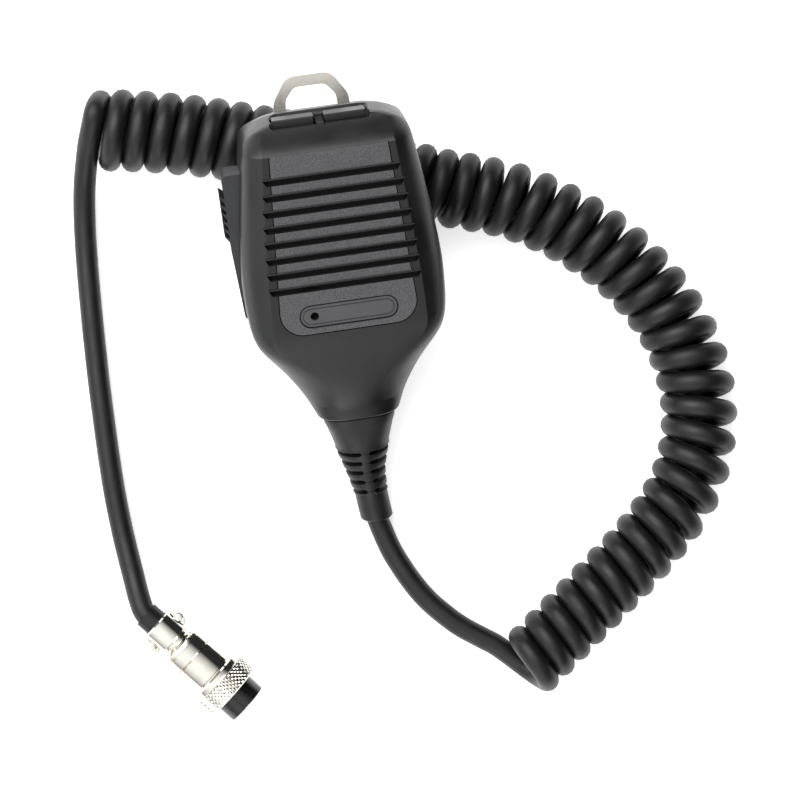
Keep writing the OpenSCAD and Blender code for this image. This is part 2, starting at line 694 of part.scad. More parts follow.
// Rear shell of the plug, with the fixed half of the cable clamp.
module plug_tail() {
    color(nickel) plug_pose() difference() {
        union() {
            rotate([0, 90, 0]) rotate_extrude($fn = 64) polygon([
                [4.6, clamp_len], [5.4, clamp_len], [5.4, clamp_len + 0.6],
                [barrel_d / 2 - 0.6, clamp_len + 0.6], [barrel_d / 2, shoulder_at],
                [barrel_d / 2, groove_at], [4.6, groove_at]
            ]);
            intersection() {
                union() {
                    rod_u(pipe_r + 1.4, 0.2, clamp_len + eps);
                    block(0.4, clamp_len - 0.4, -7, 7, -2.3, -0.5);
                }
                block(0, clamp_len + 1, -8, 8, -8, -0.5);
            }
        }
        rod_u(pipe_r, -1, clamp_len + 0.5);
        for (s = [-1, 1]) translate([clamp_len / 2 + 0.2, s * clamp_screw_y, 0]) rod(1, -4, 0);
    }
}
module plug_clamp_bar() {
    color(nickel) plug_pose() difference() {
        intersection() {
            union() {
                rod_u(pipe_r + 1.4, 0.4, clamp_len - 0.4);
                block(0.4, clamp_len - 0.4, -7, 7, 0.5, 1.9);
            }
            block(0, clamp_len, -8, 8, 0.5, 8);
        }
        rod_u(pipe_r, -1, clamp_len + 1);
        for (s = [-1, 1]) translate([clamp_len / 2 + 0.2, s * clamp_screw_y, 0]) {
            rod(1.15, 0, 3);
            rod(1.7, 1.9, 5);
        }
    }
}
module plug_clamp_screws() {
    color(steel) plug_pose() for (s = [-1, 1])
        translate([clamp_len / 2 + 0.2, s * clamp_screw_y, 0]) difference() {
            union() {
                rod(1, -3.4, 1.9 + eps);
                rod(1.5, 1.9, 3.1);
            }
            block(-2, 2, -0.25, 0.25, 2.6, 4);
        }
}
module plug_barrel() {
    color(nickel) plug_pose() rotate([0, 90, 0]) rotate_extrude($fn = 64) polygon([
        [contact_ring_r, groove_at], [barrel_d / 2 - 0.2, groove_at], [barrel_d / 2, groove_at + 0.3],
        [barrel_d / 2, ring_at - 0.3], [neck_of_barrel, ring_at - 0.3],
        [neck_of_barrel, flange_at + 0.2], [thread_r - 0.4, flange_at + 0.2],
        [thread_r - 0.4, flange_at + 1.2], [contact_ring_r, flange_at + 1.2]
    ]);
}
module coupling_ring() {
    color(nickel) plug_pose() rotate([0, 90, 0]) rotate_extrude($fn = 64) polygon([
        [neck_of_barrel + 0.06, ring_at], [ring_d / 2 - 0.9, ring_at], [ring_d / 2 - 0.5, ring_at + 0.5],
        [ring_d / 2 - 0.5, ring_at + 1.9], [ring_d / 2, ring_at + 2.2], [ring_d / 2, ring_end - 0.4],
        [ring_d / 2 - 0.4, ring_end], [thread_r, ring_end], [thread_r, flange_at],
        [neck_of_barrel + 0.06, flange_at]
    ]);
}
contact_spots = concat([[0, 0]], [for (i = [0:6]) 3.9 * [cos(360 * i / 7 + 90), sin(360 * i / 7 + 90)]]);
module plug_insert() {
    color("#101012") plug_pose() difference() {
        rod_u(insert_d / 2, flange_at + 1.25, insert_end);
        for (c = contact_spots) translate([0, c[0], c[1]]) rod_u(0.95, flange_at, insert_end + 1);
        block(insert_end - 4.5, insert_end + 1, -0.9, 0.9, insert_d / 2 - 0.7, insert_d / 2 + 1);
    }
}
module plug_contacts() {
    color("#c8a75a") plug_pose() for (c = contact_spots) translate([0, c[0], c[1]]) difference() {
        rod_u(0.9, flange_at - 3, insert_end - 0.5);
        rod_u(0.5, insert_end - 6, insert_end);
        rod_u(0.5, flange_at - 4, flange_at - 1);
    }
}
module plug_wires() {
    color("#7d3b32") plug_pose() for (i = [0:7]) {
        c = contact_spots[i];
        tube([[sleeve_front, c[0] * 0.5, c[1] * 0.5], [sleeve_front + 3, c[0] * 0.55, c[1] * 0.55],
            [flange_at - 3.2, c[0], c[1]]], [0.45, 0.45, 0.45], 6);
    }
}
module insert_screw() {
    color(steel) plug_pose() translate([flange_at - 6.5, 0, 0]) rod(0.9, barrel_d / 2 - 2.2, barrel_d / 2 - 0.3);
}

front_case();
rear_case();
badge_plate();
louvre_cloth();
mic_capsule();
capsule_holder();
case_screws();
ptt_lever();
ptt_pivot_pin();
ptt_spring();
ptt_switch();
ptt_plunger();
up_button();
down_button();
up_plunger();
down_plunger();
push_switches();
button_board();
main_board();
board_components();
board_screws();
lead_header();
hang_loop();
loop_screws();
strain_relief();
cord_tail();
cord_clamp();
cord_clamp_screws();
lead_wires();
cord_lead_in();
cord_coil();
cord_lead_out();
plug_sleeve();
plug_tail();
plug_clamp_bar();
plug_clamp_screws();
plug_barrel();
coupling_ring();
plug_insert();
plug_contacts();
plug_wires();
insert_screw();
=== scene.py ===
"""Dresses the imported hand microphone: moulded case, lever, buttons, loop, curly cord and plug."""

import json
import math

import bmesh
import bpy
from mathutils import Matrix, Vector


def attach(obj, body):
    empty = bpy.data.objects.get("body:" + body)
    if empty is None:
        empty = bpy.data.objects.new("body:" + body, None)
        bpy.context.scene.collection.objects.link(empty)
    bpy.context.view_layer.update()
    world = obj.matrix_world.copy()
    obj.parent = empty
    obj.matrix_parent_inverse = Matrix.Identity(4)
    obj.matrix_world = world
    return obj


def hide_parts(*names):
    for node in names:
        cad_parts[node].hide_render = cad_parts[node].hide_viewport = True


bl_info = {
    "name": "Hand Microphone",
    "version": (1, 0, 0),
    "blender": (4, 5, 0),
    "location": "3D View > Sidebar > Hand Microphone",
    "description": "Makes the visible pieces of a hand microphone round its packed frame",
    "category": "Object",
}

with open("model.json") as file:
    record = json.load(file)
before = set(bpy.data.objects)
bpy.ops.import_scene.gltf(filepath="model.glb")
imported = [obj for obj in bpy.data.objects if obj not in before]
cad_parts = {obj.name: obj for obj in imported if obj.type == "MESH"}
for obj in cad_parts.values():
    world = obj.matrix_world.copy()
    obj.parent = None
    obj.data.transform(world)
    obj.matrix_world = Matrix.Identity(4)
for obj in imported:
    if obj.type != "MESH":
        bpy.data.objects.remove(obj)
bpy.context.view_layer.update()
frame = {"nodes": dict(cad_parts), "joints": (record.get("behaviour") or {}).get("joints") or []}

MM = 0.001
ROOT = "microphone"
JOINTS = {joint["name"]: joint for joint in frame["joints"]}

# The case's own millimetres: u across, v from the neck to the top end, w from the
# back to the front. The lever's hinge gives their place and tilt in the frame.
PIVOT = Vector((-24.6, 37.0, 14.0))
HINGE = JOINTS["ptt_press"]
TILT = math.atan2(HINGE["axis"][1], -HINGE["axis"][2])
CASE = (
    Matrix.Translation(Vector(HINGE["pos_m"]))
    @ Matrix.Rotation(TILT, 4, "X")
    @ Matrix.Scale(MM, 4)
    @ Matrix.Translation(-PIVOT)
)
# The plug's own millimetres: x along its axis from the rear of the cable clamp.
RING_AT = 20.9
SPIN = JOINTS["ring_spin"]
PLUG = (
    Matrix.Translation(Vector(SPIN["pos_m"]))
    @ Matrix.Rotation(math.atan2(SPIN["axis"][1], SPIN["axis"][0]), 4, "Z")
    @ Matrix.Scale(MM, 4)
    @ Matrix.Translation(Vector((-RING_AT, 0, 0)))
)

SEAM = 14.0
NECK_V, NECK_W = 3.0, 12.0
TOP_V = 88.7
CREASE_V = 80.9
FRONT_W = 30.0
LIP_W = 23.3
PANEL_LOW_V, PANEL_TOP_V = 30.9, 80.65
PANEL_LOW_HALF, PANEL_TOP_HALF = 19.1, 16.0
BADGE_V = 36.0
BADGE_LONG, BADGE_TALL = 26.2, 5.8
HOLE = (-9.3, BADGE_V)
HOLE_R = 1.15
LEVER_LOW, LEVER_TOP = 34.5, 74.9


# ---------------------------------------------------------------- sizes and colours


class CaseSizes(bpy.types.PropertyGroup):
    """Sizes of the moulded case, in millimetres of the real thing"""

    slots: bpy.props.IntProperty(
        name="Louvre slots", description="Number of slots in the front", default=8, min=1, max=8
    )
    slot_pitch: bpy.props.FloatProperty(
        name="Slot pitch", description="Distance between slots in mm", default=4.28, min=3.6, max=4.4
    )
    slot_height: bpy.props.FloatProperty(
        name="Slot height", description="Opening of one slot in mm", default=1.7, min=0.8, max=1.8
    )
    slot_lip: bpy.props.FloatProperty(
        name="Fin thickness", description="Thickness of the fin above a slot in mm", default=0.4,
        min=0.2, max=0.6,
    )
    fin_rise: bpy.props.FloatProperty(
        name="Fin rise", description="How far the fins stand proud of the panel in mm", default=0.35,
        min=0.1, max=0.8,
    )
    ridges: bpy.props.IntProperty(
        name="Lever ridges", description="Number of grip ridges on the lever", default=6, min=3, max=7
    )


class CordSizes(bpy.types.PropertyGroup):
    """Sizes of the curly cord"""

    diameter: bpy.props.FloatProperty(
        name="Diameter", description="Thickness of the cord", default=0.0062, min=0.004, max=0.008,
        unit="LENGTH",
    )
    pitch: bpy.props.FloatProperty(
        name="Pitch", description="Distance between turns where they touch", default=0.0063,
        min=0.006, max=0.01, unit="LENGTH",
    )
    turn_points: bpy.props.IntProperty(
        name="Points a turn", description="Points along each turn of the coil", default=28, min=12, max=40
    )


class Finishes(bpy.types.PropertyGroup):
    """Colours of the finishes"""

    case: bpy.props.FloatVectorProperty(
        name="Case", description="Moulded plastic", default=(0.0042, 0.0044, 0.0052), subtype="COLOR", size=3
    )
    panel: bpy.props.FloatVectorProperty(
        name="Panel", description="Grained front panel", default=(0.06, 0.06, 0.064), subtype="COLOR", size=3
    )
    cord: bpy.props.FloatVectorProperty(
        name="Cord", description="Cord and strain relief", default=(0.0045, 0.0045, 0.0053),
        subtype="COLOR", size=3,
    )
    nickel: bpy.props.FloatVectorProperty(
        name="Nickel", description="Plated metal", default=(0.77, 0.74, 0.67), subtype="COLOR", size=3
    )


def case_sizes():
    """The case's sizes as the scene holds them."""
    return bpy.context.scene.mic_case


def finishes():
    """The finishes' colours as the scene holds them."""
    return bpy.context.scene.mic_finishes


# ---------------------------------------------------------------- shapes


def smooth_path(points, steps):
    """A smooth curve through the points, with so many steps between each two."""
    path = []
    for i in range(len(points) - 1):
        b, c = points[i], points[i + 1]
        a = points[i - 1] if i > 0 else b * 2 - c
        d = points[i + 2] if i + 2 < len(points) else c * 2 - b
        for j in range(steps):
            t = j / steps
            bend = (c - a) * t + (a * 2 - b * 5 + c * 4 - d) * t**2 + (b * 3 - a - c * 3 + d) * t**3
            path.append((b * 2 + bend) / 2)
    path.append(points[-1])
    return path


def along_table(table, x):
    """The value at x on a smooth curve through the table's (x, value) rows."""
    rows = sorted(table)
    x = min(max(x, rows[0][0]), rows[-1][0])
    i = max(k for k in range(len(rows) - 1) if rows[k][0] <= x)
    (x0, y0), (x1, y1) = rows[i], rows[i + 1]

    def slope(k):
        """Gentlest slope at row k, so that the curve never overshoots."""
        if k in (0, len(rows) - 1):
            return 0 if k == len(rows) - 1 else (rows[1][1] - rows[0][1]) / (rows[1][0] - rows[0][0])
        before = (rows[k][1] - rows[k - 1][1]) / (rows[k][0] - rows[k - 1][0])
        after = (rows[k + 1][1] - rows[k][1]) / (rows[k + 1][0] - rows[k][0])
        return 2 * before * after / (before + after) if before * after > 0 else 0

    h, t = x1 - x0, (x - x0) / (x1 - x0)
    first = (2 * t**3 - 3 * t**2 + 1) * y0 + (t**3 - 2 * t**2 + t) * h * slope(i)
    return first + (3 * t**2 - 2 * t**3) * y1 + (t**3 - t**2) * h * slope(i + 1)


def ease(x, low, high):
    """0 below low, 1 above high, and a smooth step between."""
    t = min(max((x - low) / (high - low), 0), 1)
    return t * t * (3 - 2 * t)


def loft(loops):
    """A closed bmesh through the loops of points, which have the same number of points."""
    bm = bmesh.new()
    rings = []
    for loop in loops:
        verts = [bm.verts.new(p) for p in loop]
        edges = [bm.edges.new((verts[i - 1], verts[i])) for i in range(len(verts))]
        rings.append((verts, edges))
    for (_, one), (_, two) in zip(rings, rings[1:]):
        bmesh.ops.bridge_loops(bm, edges=one + two)
    bm.faces.new(rings[0][0])
    bm.faces.new(rings[-1][0])
    bmesh.ops.recalc_face_normals(bm, faces=bm.faces)
    if bm.calc_volume(signed=True) < 0:
        bmesh.ops.reverse_faces(bm, faces=bm.faces)
    return bm


def flat_circle(radius, height, middle, steps=32):
    """Points of a flat circle at a height."""
    turns = [math.tau * k / steps for k in range(steps)]
    return [(middle[0] + radius * math.cos(a), middle[1] + radius * math.sin(a), height) for a in turns]


def rounded(corners, steps=5):
    """A closed outline from (x, y, corner radius) rows."""
    outline = []
    for i, (x, y, r) in enumerate(corners):
        b = Vector((x, y))
        if r <= 0:
            outline.append(b)
            continue
        a = Vector(corners[i - 1][:2])
        c = Vector(corners[(i + 1) % len(corners)][:2])
        p, q = (a - b).normalized(), (c - b).normalized()
        half = p.angle(q) / 2
        middle = b + (p + q).normalized() * r / math.sin(half)
        start = b + p * r / math.tan(half) - middle
        turn = start.angle_signed(b + q * r / math.tan(half) - middle)
        for k in range(steps + 1):
            angle = -turn * k / steps
            cos, sin = math.cos(angle), math.sin(angle)
            outline.append(middle + Vector((start.x * cos - start.y * sin, start.x * sin + start.y * cos)))
    return outline


def both_sides(corners):
    """The corners and their mirror images, as one outline."""
    return list(corners) + [(-x, y, r) for x, y, r in reversed(corners)]


def plate(outline, low, high, holes=()):
    """A flat plate with holes, from low to high in w, of outlines in u and v."""
    bm = bmesh.new()
    edges = []
    for loop in [outline, *holes]:
        verts = [bm.verts.new((p[0], p[1], low)) for p in loop]
        edges += [bm.edges.new((verts[i - 1], verts[i])) for i in range(len(verts))]
    bmesh.ops.triangle_fill(bm, use_beauty=True, use_dissolve=False, edges=edges)
    raised = bmesh.ops.extrude_face_region(bm, geom=bm.faces[:])
    moved = [g for g in raised["geom"] if isinstance(g, bmesh.types.BMVert)]
    bmesh.ops.translate(bm, verts=moved, vec=(0, 0, high - low))
    bmesh.ops.recalc_face_normals(bm, faces=bm.faces)
    return bm


def soften(bm, width, angle=40, segments=2, where=None):
    """Rounds the bmesh's sharp edges."""
    edges = [
        e for e in bm.edges
        if e.is_manifold and e.calc_face_angle(0) > math.radians(angle) and (where is None or where(e))
    ]
    bmesh.ops.bevel(
        bm, geom=edges, offset=width, offset_type="OFFSET", segments=segments, profile=0.5,
        affect="EDGES", clamp_overlap=True, material=-1,
    )
    return bm


def block(low, high):
    """A box between two corners."""
    bm = bmesh.new()
    bmesh.ops.create_cube(bm, size=1)
    low, high = Vector(low), Vector(high)
    bmesh.ops.scale(bm, vec=high - low, verts=bm.verts)
    bmesh.ops.translate(bm, vec=(low + high) / 2, verts=bm.verts)
    return bm


def rod(radius, start, end, segments=32):
    """A cylinder from start to end."""
    bm = bmesh.new()
    start, end = Vector(start), Vector(end)
    turn = Vector((0, 0, 1)).rotation_difference(end - start).to_matrix()
    bmesh.ops.create_cone(
        bm, cap_ends=True, segments=segments, radius1=radius, radius2=radius, depth=(end - start).length
    )
    bmesh.ops.rotate(bm, verts=bm.verts, cent=(0, 0, 0), matrix=turn)
    bmesh.ops.translate(bm, verts=bm.verts, vec=(start + end) / 2)
    return bm


def lathe(profile, steps=64):
    """A closed ring round the X axis from a closed profile of (x, radius) rows."""
    bm = bmesh.new()
    verts = [bm.verts.new((x, r, 0)) for x, r in profile]
    edges = [bm.edges.new((verts[i - 1], verts[i])) for i in range(len(verts))]
    bmesh.ops.spin(
        bm, geom=verts + edges, cent=(0, 0, 0), axis=(1, 0, 0), angle=math.tau, steps=steps, use_merge=True
    )
    bmesh.ops.remove_doubles(bm, verts=bm.verts, dist=1e-4)
    bmesh.ops.recalc_face_normals(bm, faces=bm.faces)
    return bm


def as_object(name, bm):
    """A linked object of the bmesh."""
    mesh = bpy.data.meshes.new(name)
    bm.to_mesh(mesh)
    bm.free()
    obj = bpy.data.objects.new(name, mesh)
    bpy.context.scene.collection.objects.link(obj)
    return obj


def joined(pieces):
    """One bmesh of several separate ones."""
    whole = bmesh.new()
    for bm in pieces:
        mesh = bpy.data.meshes.new("piece")
        bm.to_mesh(mesh)
        bm.free()
        whole.from_mesh(mesh)
        bpy.data.meshes.remove(mesh)
    return whole


def soften_object(obj, width, where):
    """Rounds an object's sharp edges that the test picks."""
    bm = bmesh.new()
    bm.from_mesh(obj.data)
    soften(bm, width, 30, 2, where)
    bm.to_mesh(obj.data)
    bm.free()


def cut(obj, cutters, operation="DIFFERENCE"):
    """Takes the cutters out of the object for good, or joins or meets them with it."""
    for bm in cutters:
        cutter = as_object("cutter", bm)
        modifier = obj.modifiers.new("cut", "BOOLEAN")
        modifier.operation = operation
        modifier.solver = "EXACT"
        modifier.object = cutter
        graph = bpy.context.evaluated_depsgraph_get()
        mesh = bpy.data.meshes.new_from_object(obj.evaluated_get(graph))
        obj.modifiers.clear()
        old, obj.data = obj.data, mesh
        bpy.data.meshes.remove(old)
        bpy.data.objects.remove(cutter)


def settle(obj, place, body, materials, nodes=(), crisp=30, pick=None):
    """Gives a piece its place, finish and body, and lets it stand for the CAD nodes."""
    mesh = obj.data
    mesh.materials.clear()
    for material in materials:
        mesh.materials.append(material)
    for face in mesh.polygons:
        face.material_index = pick(face) if pick else 0
    mesh.transform(place)
    mesh.shade_smooth()
    mesh.set_sharp_from_angle(angle=math.radians(crisp))
    mesh.update()
    weighted = obj.modifiers.new("weighted normals", "WEIGHTED_NORMAL")
    weighted.keep_sharp = True
    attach(obj, body)
    if nodes:
        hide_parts(*nodes)
    return obj


# ---------------------------------------------------------------- finishes


class Surface:
    """A material with one Principled shader, built step by step."""

    def __init__(self, name, colour, roughness, metallic=0.0, shine=0.5):
        self.material = bpy.data.materials.new(name)
        self.material.use_nodes = True
        self.nodes = self.material.node_tree.nodes
        self.links = self.material.node_tree.links
        self.shader = self.nodes["Principled BSDF"]
        self.shader.inputs["Base Color"].default_value = (*colour, 1)
        self.shader.inputs["Roughness"].default_value = roughness
        self.shader.inputs["Metallic"].default_value = metallic
        self.where = self.nodes.new("ShaderNodeTexCoord").outputs["Object"]
        self.shader.inputs["Specular IOR Level"].default_value = shine
        self.colour = colour
        self.normal = None

    def stretched(self, scale):
        """Object coordinates scaled along each axis."""
        mapping = self.nodes.new("ShaderNodeMapping")
        mapping.inputs["Scale"].default_value = scale
        self.links.new(self.where, mapping.inputs["Vector"])
        return mapping.outputs["Vector"]

    def noise(self, scale, detail=3.0, where=None):
        """A noise whose grains are about 1/scale metres across."""
        node = self.nodes.new("ShaderNodeTexNoise")
        node.inputs["Scale"].default_value = scale
        node.inputs["Detail"].default_value = detail
        self.links.new(where or self.where, node.inputs["Vector"])
        return node.outputs["Fac"]

    def spread(self, value, low, high, start=0.35, end=0.65):
        """Maps a noise onto a range."""
        node = self.nodes.new("ShaderNodeMapRange")
        node.inputs["From Min"].default_value = start
        node.inputs["From Max"].default_value = end
        node.inputs["To Min"].default_value = low
        node.inputs["To Max"].default_value = high
        self.links.new(value, node.inputs["Value"])
        return node.outputs["Result"]

    def tint(self, value, dark, light):
        """Colours the surface between a darker and a lighter tone of its colour."""
        node = self.nodes.new("ShaderNodeMix")
        node.data_type = "RGBA"
        node.inputs["A"].default_value = (*[c * dark for c in self.colour], 1)
        node.inputs["B"].default_value = (*[min(1, c * light) for c in self.colour], 1)
        self.links.new(self.spread(value, 0, 1), node.inputs["Factor"])
        self.links.new(node.outputs["Result"], self.shader.inputs["Base Color"])
        return self

    def gloss(self, value, low, high):
        """Varies the roughness."""
        self.links.new(self.spread(value, low, high), self.shader.inputs["Roughness"])
        return self

    def bump(self, value, height, strength=1.0):
        """Adds relief of that height in metres."""
        node = self.nodes.new("ShaderNodeBump")
        node.inputs["Distance"].default_value = height
        node.inputs["Strength"].default_value = strength
        self.links.new(value, node.inputs["Height"])
        if self.normal:
            self.links.new(self.normal, node.inputs["Normal"])
        self.normal = node.outputs["Normal"]
        self.links.new(self.normal, self.shader.inputs["Normal"])
        return self


def moulded(name, colour, roughness, grain, depth):
    """Moulded plastic with a fine spark-eroded grain."""
    skin = Surface(name, colour, roughness, 0.0, 0.5)
    fine = skin.noise(grain, 2.0)
    patches = skin.noise(90, 3.0)
    skin.tint(patches, 0.9, 1.12)
    skin.gloss(patches, roughness - 0.04, roughness + 0.05)
    skin.bump(fine, depth)
    return skin.material


def grained_panel():
    """The front panel's coarser grain, with uneven tone and brighter specks painted into its colour as
    glints off the grain's facets.
    """
    colour = tuple(finishes().panel)
    skin = Surface("grained panel", colour, 0.5)
    grain = skin.noise(2600, 2.0)
    # colour follows the grain: uneven tone, with its brightest specks a painted glint
    skin.tint(grain, 0.72, 1.4)
    skin.gloss(skin.noise(1900, 1.0), 0.36, 0.62)
    skin.bump(grain, 0.00011)
    return skin.material


def cord_jacket():
    """Smooth dull jacket of the cord, with faint wipe marks."""
    colour = tuple(finishes().cord)
    skin = Surface("cord jacket", colour, 0.44, 0.0, 0.4)
    patches = skin.noise(60, 4.0)
    skin.tint(patches, 0.88, 1.15)
    skin.gloss(skin.noise(160, 3.0), 0.4, 0.52)
    skin.bump(skin.noise(1500, 2.0), 0.000012)
    return skin.material


def plated(name, colour, roughness, stretch=(1, 1, 1), marks=400):
    """Plated metal with faint polishing marks."""
    skin = Surface(name, colour, roughness, 1.0)
    streaks = skin.noise(marks, 3.0, skin.stretched(stretch))
    skin.tint(streaks, 0.95, 1.03)
    skin.gloss(streaks, roughness * 0.7, roughness * 1.35)
    skin.bump(streaks, 0.000001)
    return skin.material


def sheet_metal():
    """Flat plated sheet with soft cloudy patches."""
    skin = Surface("nickel sheet", tuple(finishes().nickel), 0.25, 1.0)
    clouds = skin.noise(260, 3.0)
    skin.tint(clouds, 0.93, 1.04)
    skin.gloss(clouds, 0.18, 0.34)
    return skin.material


def plain(name, colour, roughness, metallic=0.0, grain=700):
    """A small piece's finish: fine grain and slight tone changes."""
    skin = Surface(name, colour, roughness, metallic)
    grains = skin.noise(grain, 2.0)
    skin.tint(grains, 0.88, 1.12)
    skin.gloss(grains, max(0.05, roughness - 0.05), roughness + 0.06)
    skin.bump(grains, 0.00001)
    return skin.material


def woven_cloth():
    """Dust cloth behind the slots, a plain weave."""
    skin = Surface("dust cloth", (0.006, 0.006, 0.007), 0.9)
    wave = skin.nodes.new("ShaderNodeTexWave")
    wave.inputs["Scale"].default_value = 900
    wave.inputs["Distortion"].default_value = 1.5
    skin.links.new(skin.where, wave.inputs["Vector"])
    skin.tint(wave.outputs["Fac"], 0.6, 1.4)
    skin.bump(wave.outputs["Fac"], 0.00008)
    return skin.material


def finish(key):
    """The material of that name, made the first time it is asked for."""
    made = bpy.data.materials.get(key)
    if made:
        return made
    nickel = tuple(finishes().nickel)
    makers = {
        "moulded case": lambda: moulded(key, tuple(finishes().case), 0.37, 2400, 0.00003),
        "smooth key": lambda: moulded(key, tuple(finishes().case), 0.36, 2000, 0.000012),
        "badge plate": lambda: moulded(key, tuple(finishes().panel), 0.42, 1800, 0.00002),
        "grained lever": lambda: moulded(key, tuple(c * 4 for c in finishes().case), 0.5, 2400, 0.00009),
        # painted shade: near-black colour put on faces deep in the pocket, the slots, the groove and the
        # sound hole, where only shade falls
        "painted deep shade": lambda: plain(key, (0.001, 0.001, 0.001), 0.95),
        "grained panel": grained_panel,
        "cord jacket": cord_jacket,
        "nickel plate": lambda: plated(key, nickel, 0.085),
        "nickel sheet": sheet_metal,
        "zinc steel": lambda: plated(key, (0.6, 0.6, 0.58), 0.3, (1, 1, 1), 700),
        "plug nose": lambda: plain(key, (0.005, 0.005, 0.005), 0.24, 0, 1200),
        "dust cloth": woven_cloth,
        "capsule": lambda: plated(key, (0.6, 0.61, 0.63), 0.32),
        "pale plastic": lambda: plain(key, (0.78, 0.76, 0.68), 0.4),
        "dark plastic": lambda: plain(key, (0.04, 0.04, 0.045), 0.5),
        "lacquered board": lambda: plain(key, (0.02, 0.13, 0.06), 0.3, 0, 300),
        "wire": lambda: plain(key, (0.36, 0.05, 0.035), 0.4),
        "contact": lambda: plain(key, (0.83, 0.62, 0.28), 0.22, 1.0),
    }
    return makers[key]()


# ---------------------------------------------------------------- the case's form

HALF_WIDTHS = [
    (0, 10.05), (4, 11.9), (8.6, 14.0), (13.3, 16.5), (18, 19.2), (22.6, 22.3), (27.2, 25.1),
    (31.8, 26.5), (37, 27.1), (45, 27.3), (54, 26.6), (63, 25.5), (72, 24.2), (80.8, 22.8),
    (83, 22.3), (84.6, 21.4), (86, 19.9), (87.2, 17.9), (88.2, 15.2), (88.7, 12.8),
]
FRONT_HEIGHTS = [
    (0, 22.1), (6, 22.95), (12, 24.3), (18, 26.2), (24, 28.3), (28.5, 29.55), (32, 29.97), (34, FRONT_W),
    (80.7, FRONT_W), (81.15, 29.78), (87.9, LIP_W), (TOP_V, LIP_W - 0.6),
]
PANEL_HALVES = [
    (0, 4.5), (10, 8.6), (20, 14.2), (27, 18.0), (PANEL_LOW_V, PANEL_LOW_HALF), (80.4, PANEL_TOP_HALF),
    (TOP_V, 15.1),
]
STATIONS = [
    NECK_V, NECK_V + 0.25, 4, 5.5, 7, 9, 11, 13, 15, 17, 19, 21, 23, 25, 27, 29, 31, 33, 35, 38, 42, 46,
    51, 57, 63, 69, 75, 80.7, 81.15, 82, 83, 83.7, 84.3, 84.9, 85.4, 85.9, 86.4, 86.8, 87.2, 87.6, 87.9,
    88.15, 88.35, 88.55, TOP_V,
]
BEZEL_STEPS = 14
BEZEL_LAND = 1.7
BEZEL_DEEP, BEZEL_WIDE = 8.0, 7.0
BEZEL_SWEEP, SWEEP_LESS = 86, 24
MIDDLE_STEPS = (0.67, 0.33, 0)
BACK_HEIGHTS = [(0, 1.9), (4.5, 0.7), (9, 0), (TOP_V, 0)]
SIDE_STEPS = (0.0, 0.35, 0.7, 1.0)
SEAM_ROUND = 0.22
NECK_SQUARE = 3.4
BACK_STEPS = 6
BACK_DEEP, BACK_ROUND = 3.4, 2.8
FRONT_TUCK, BACK_TUCK = 0.8, 2.5


def squarish(radius, angle, power):
    """A point of a circle whose sides are flattened by a power above 2."""
    cos, sin = math.cos(angle), math.sin(angle)
    return tuple(math.copysign(abs(c) ** (2 / power), c) * radius for c in (cos, sin))


def half_section(v, front):
    """Points (u, w) of half the case at v, from the seam to its middle."""
    half = along_table(HALF_WIDTHS, v)
    end_round = 0.35 * (1 - min(1, (TOP_V - v) / 0.4)) + 0.2 * (1 - min(1, (v - NECK_V) / 0.25))
    height = along_table(FRONT_HEIGHTS, v) - end_round
    half -= end_round
    panel = min(along_table(PANEL_HALVES, v) + BEZEL_LAND, half - 1.6)
    back = along_table(BACK_HEIGHTS, v) + end_round
    points = []
    if front:
        start = height - BEZEL_DEEP * min(1, (half - panel) / BEZEL_WIDE)
        sweep = math.radians(BEZEL_SWEEP - SWEEP_LESS * ease(v, 22, 34))
        for t in SIDE_STEPS:
            points.append((half, SEAM + SEAM_ROUND + (start - SEAM - SEAM_ROUND) * t))
        for k in range(1, BEZEL_STEPS + 1):
            angle = sweep * k / BEZEL_STEPS
            across = (1 - math.cos(angle)) / (1 - math.cos(sweep))
            up = math.sin(angle) / math.sin(sweep)
            points.append((half - (half - panel) * across, start + (height - start) * up))
        points += [(panel * f, height) for f in MIDDLE_STEPS]
    else:
        for t in SIDE_STEPS:
            points.append((half, SEAM - SEAM_ROUND + (back + BACK_DEEP - SEAM + SEAM_ROUND) * t))
        for k in range(1, BACK_STEPS + 1):
            angle = math.radians(90) * k / BACK_STEPS
            across, up = BACK_ROUND * (1 - math.cos(angle)), BACK_DEEP * (1 - math.sin(angle))
            points.append((half - across, back + up))
        points += [((half - BACK_ROUND) * f, back) for f in MIDDLE_STEPS]
    # Towards the neck the section turns into an oval, and then into the squarish circle of its end.
    count = len(points) - 1
    top = height if front else back
    first = math.asin((SEAM - NECK_W) / half)
    blended = []
    for i, (u, w) in enumerate(points):
        share = i / count
        angle = first + (math.pi / 2 - first) * share if front else first - (math.pi / 2 + first) * share
        circle = squarish(half, angle, NECK_SQUARE)
        circle = (circle[0], NECK_W + circle[1])
        oval = (half * math.cos(share * math.pi / 2), SEAM + (top - SEAM) * math.sin(share * math.pi / 2))
        k, m = ease(v, 0, 8), ease(v, 3, 29)
        soft = [c + (o - c) * k for c, o in zip(circle, oval)]
        blended.append(tuple(s + (p - s) * m for s, p in zip(soft, (u, w))))
    edge_u, edge_w = blended[0]
    return [(edge_u - SEAM_ROUND, SEAM), (edge_u - 0.06, edge_w - (edge_w - SEAM) * 0.5), *blended]


def case_half(front):
    """The closed form of the front or the rear moulding."""
    loops = []
    for v in STATIONS:
        half = half_section(v, front)
        lean = ease(v, CREASE_V, TOP_V)

        def place(u, w):
            """Leans the end of the case in, away from the seam."""
            inset = FRONT_TUCK * (w - SEAM) / (LIP_W - SEAM) if front else BACK_TUCK * (SEAM - w) / SEAM
            return (u, v - lean * inset, w)

        right = [place(u, w) for u, w in half]
        left = [place(-u, w) for u, w in reversed(half[:-1])]
        loops.append(right + left)
    return loft(loops)


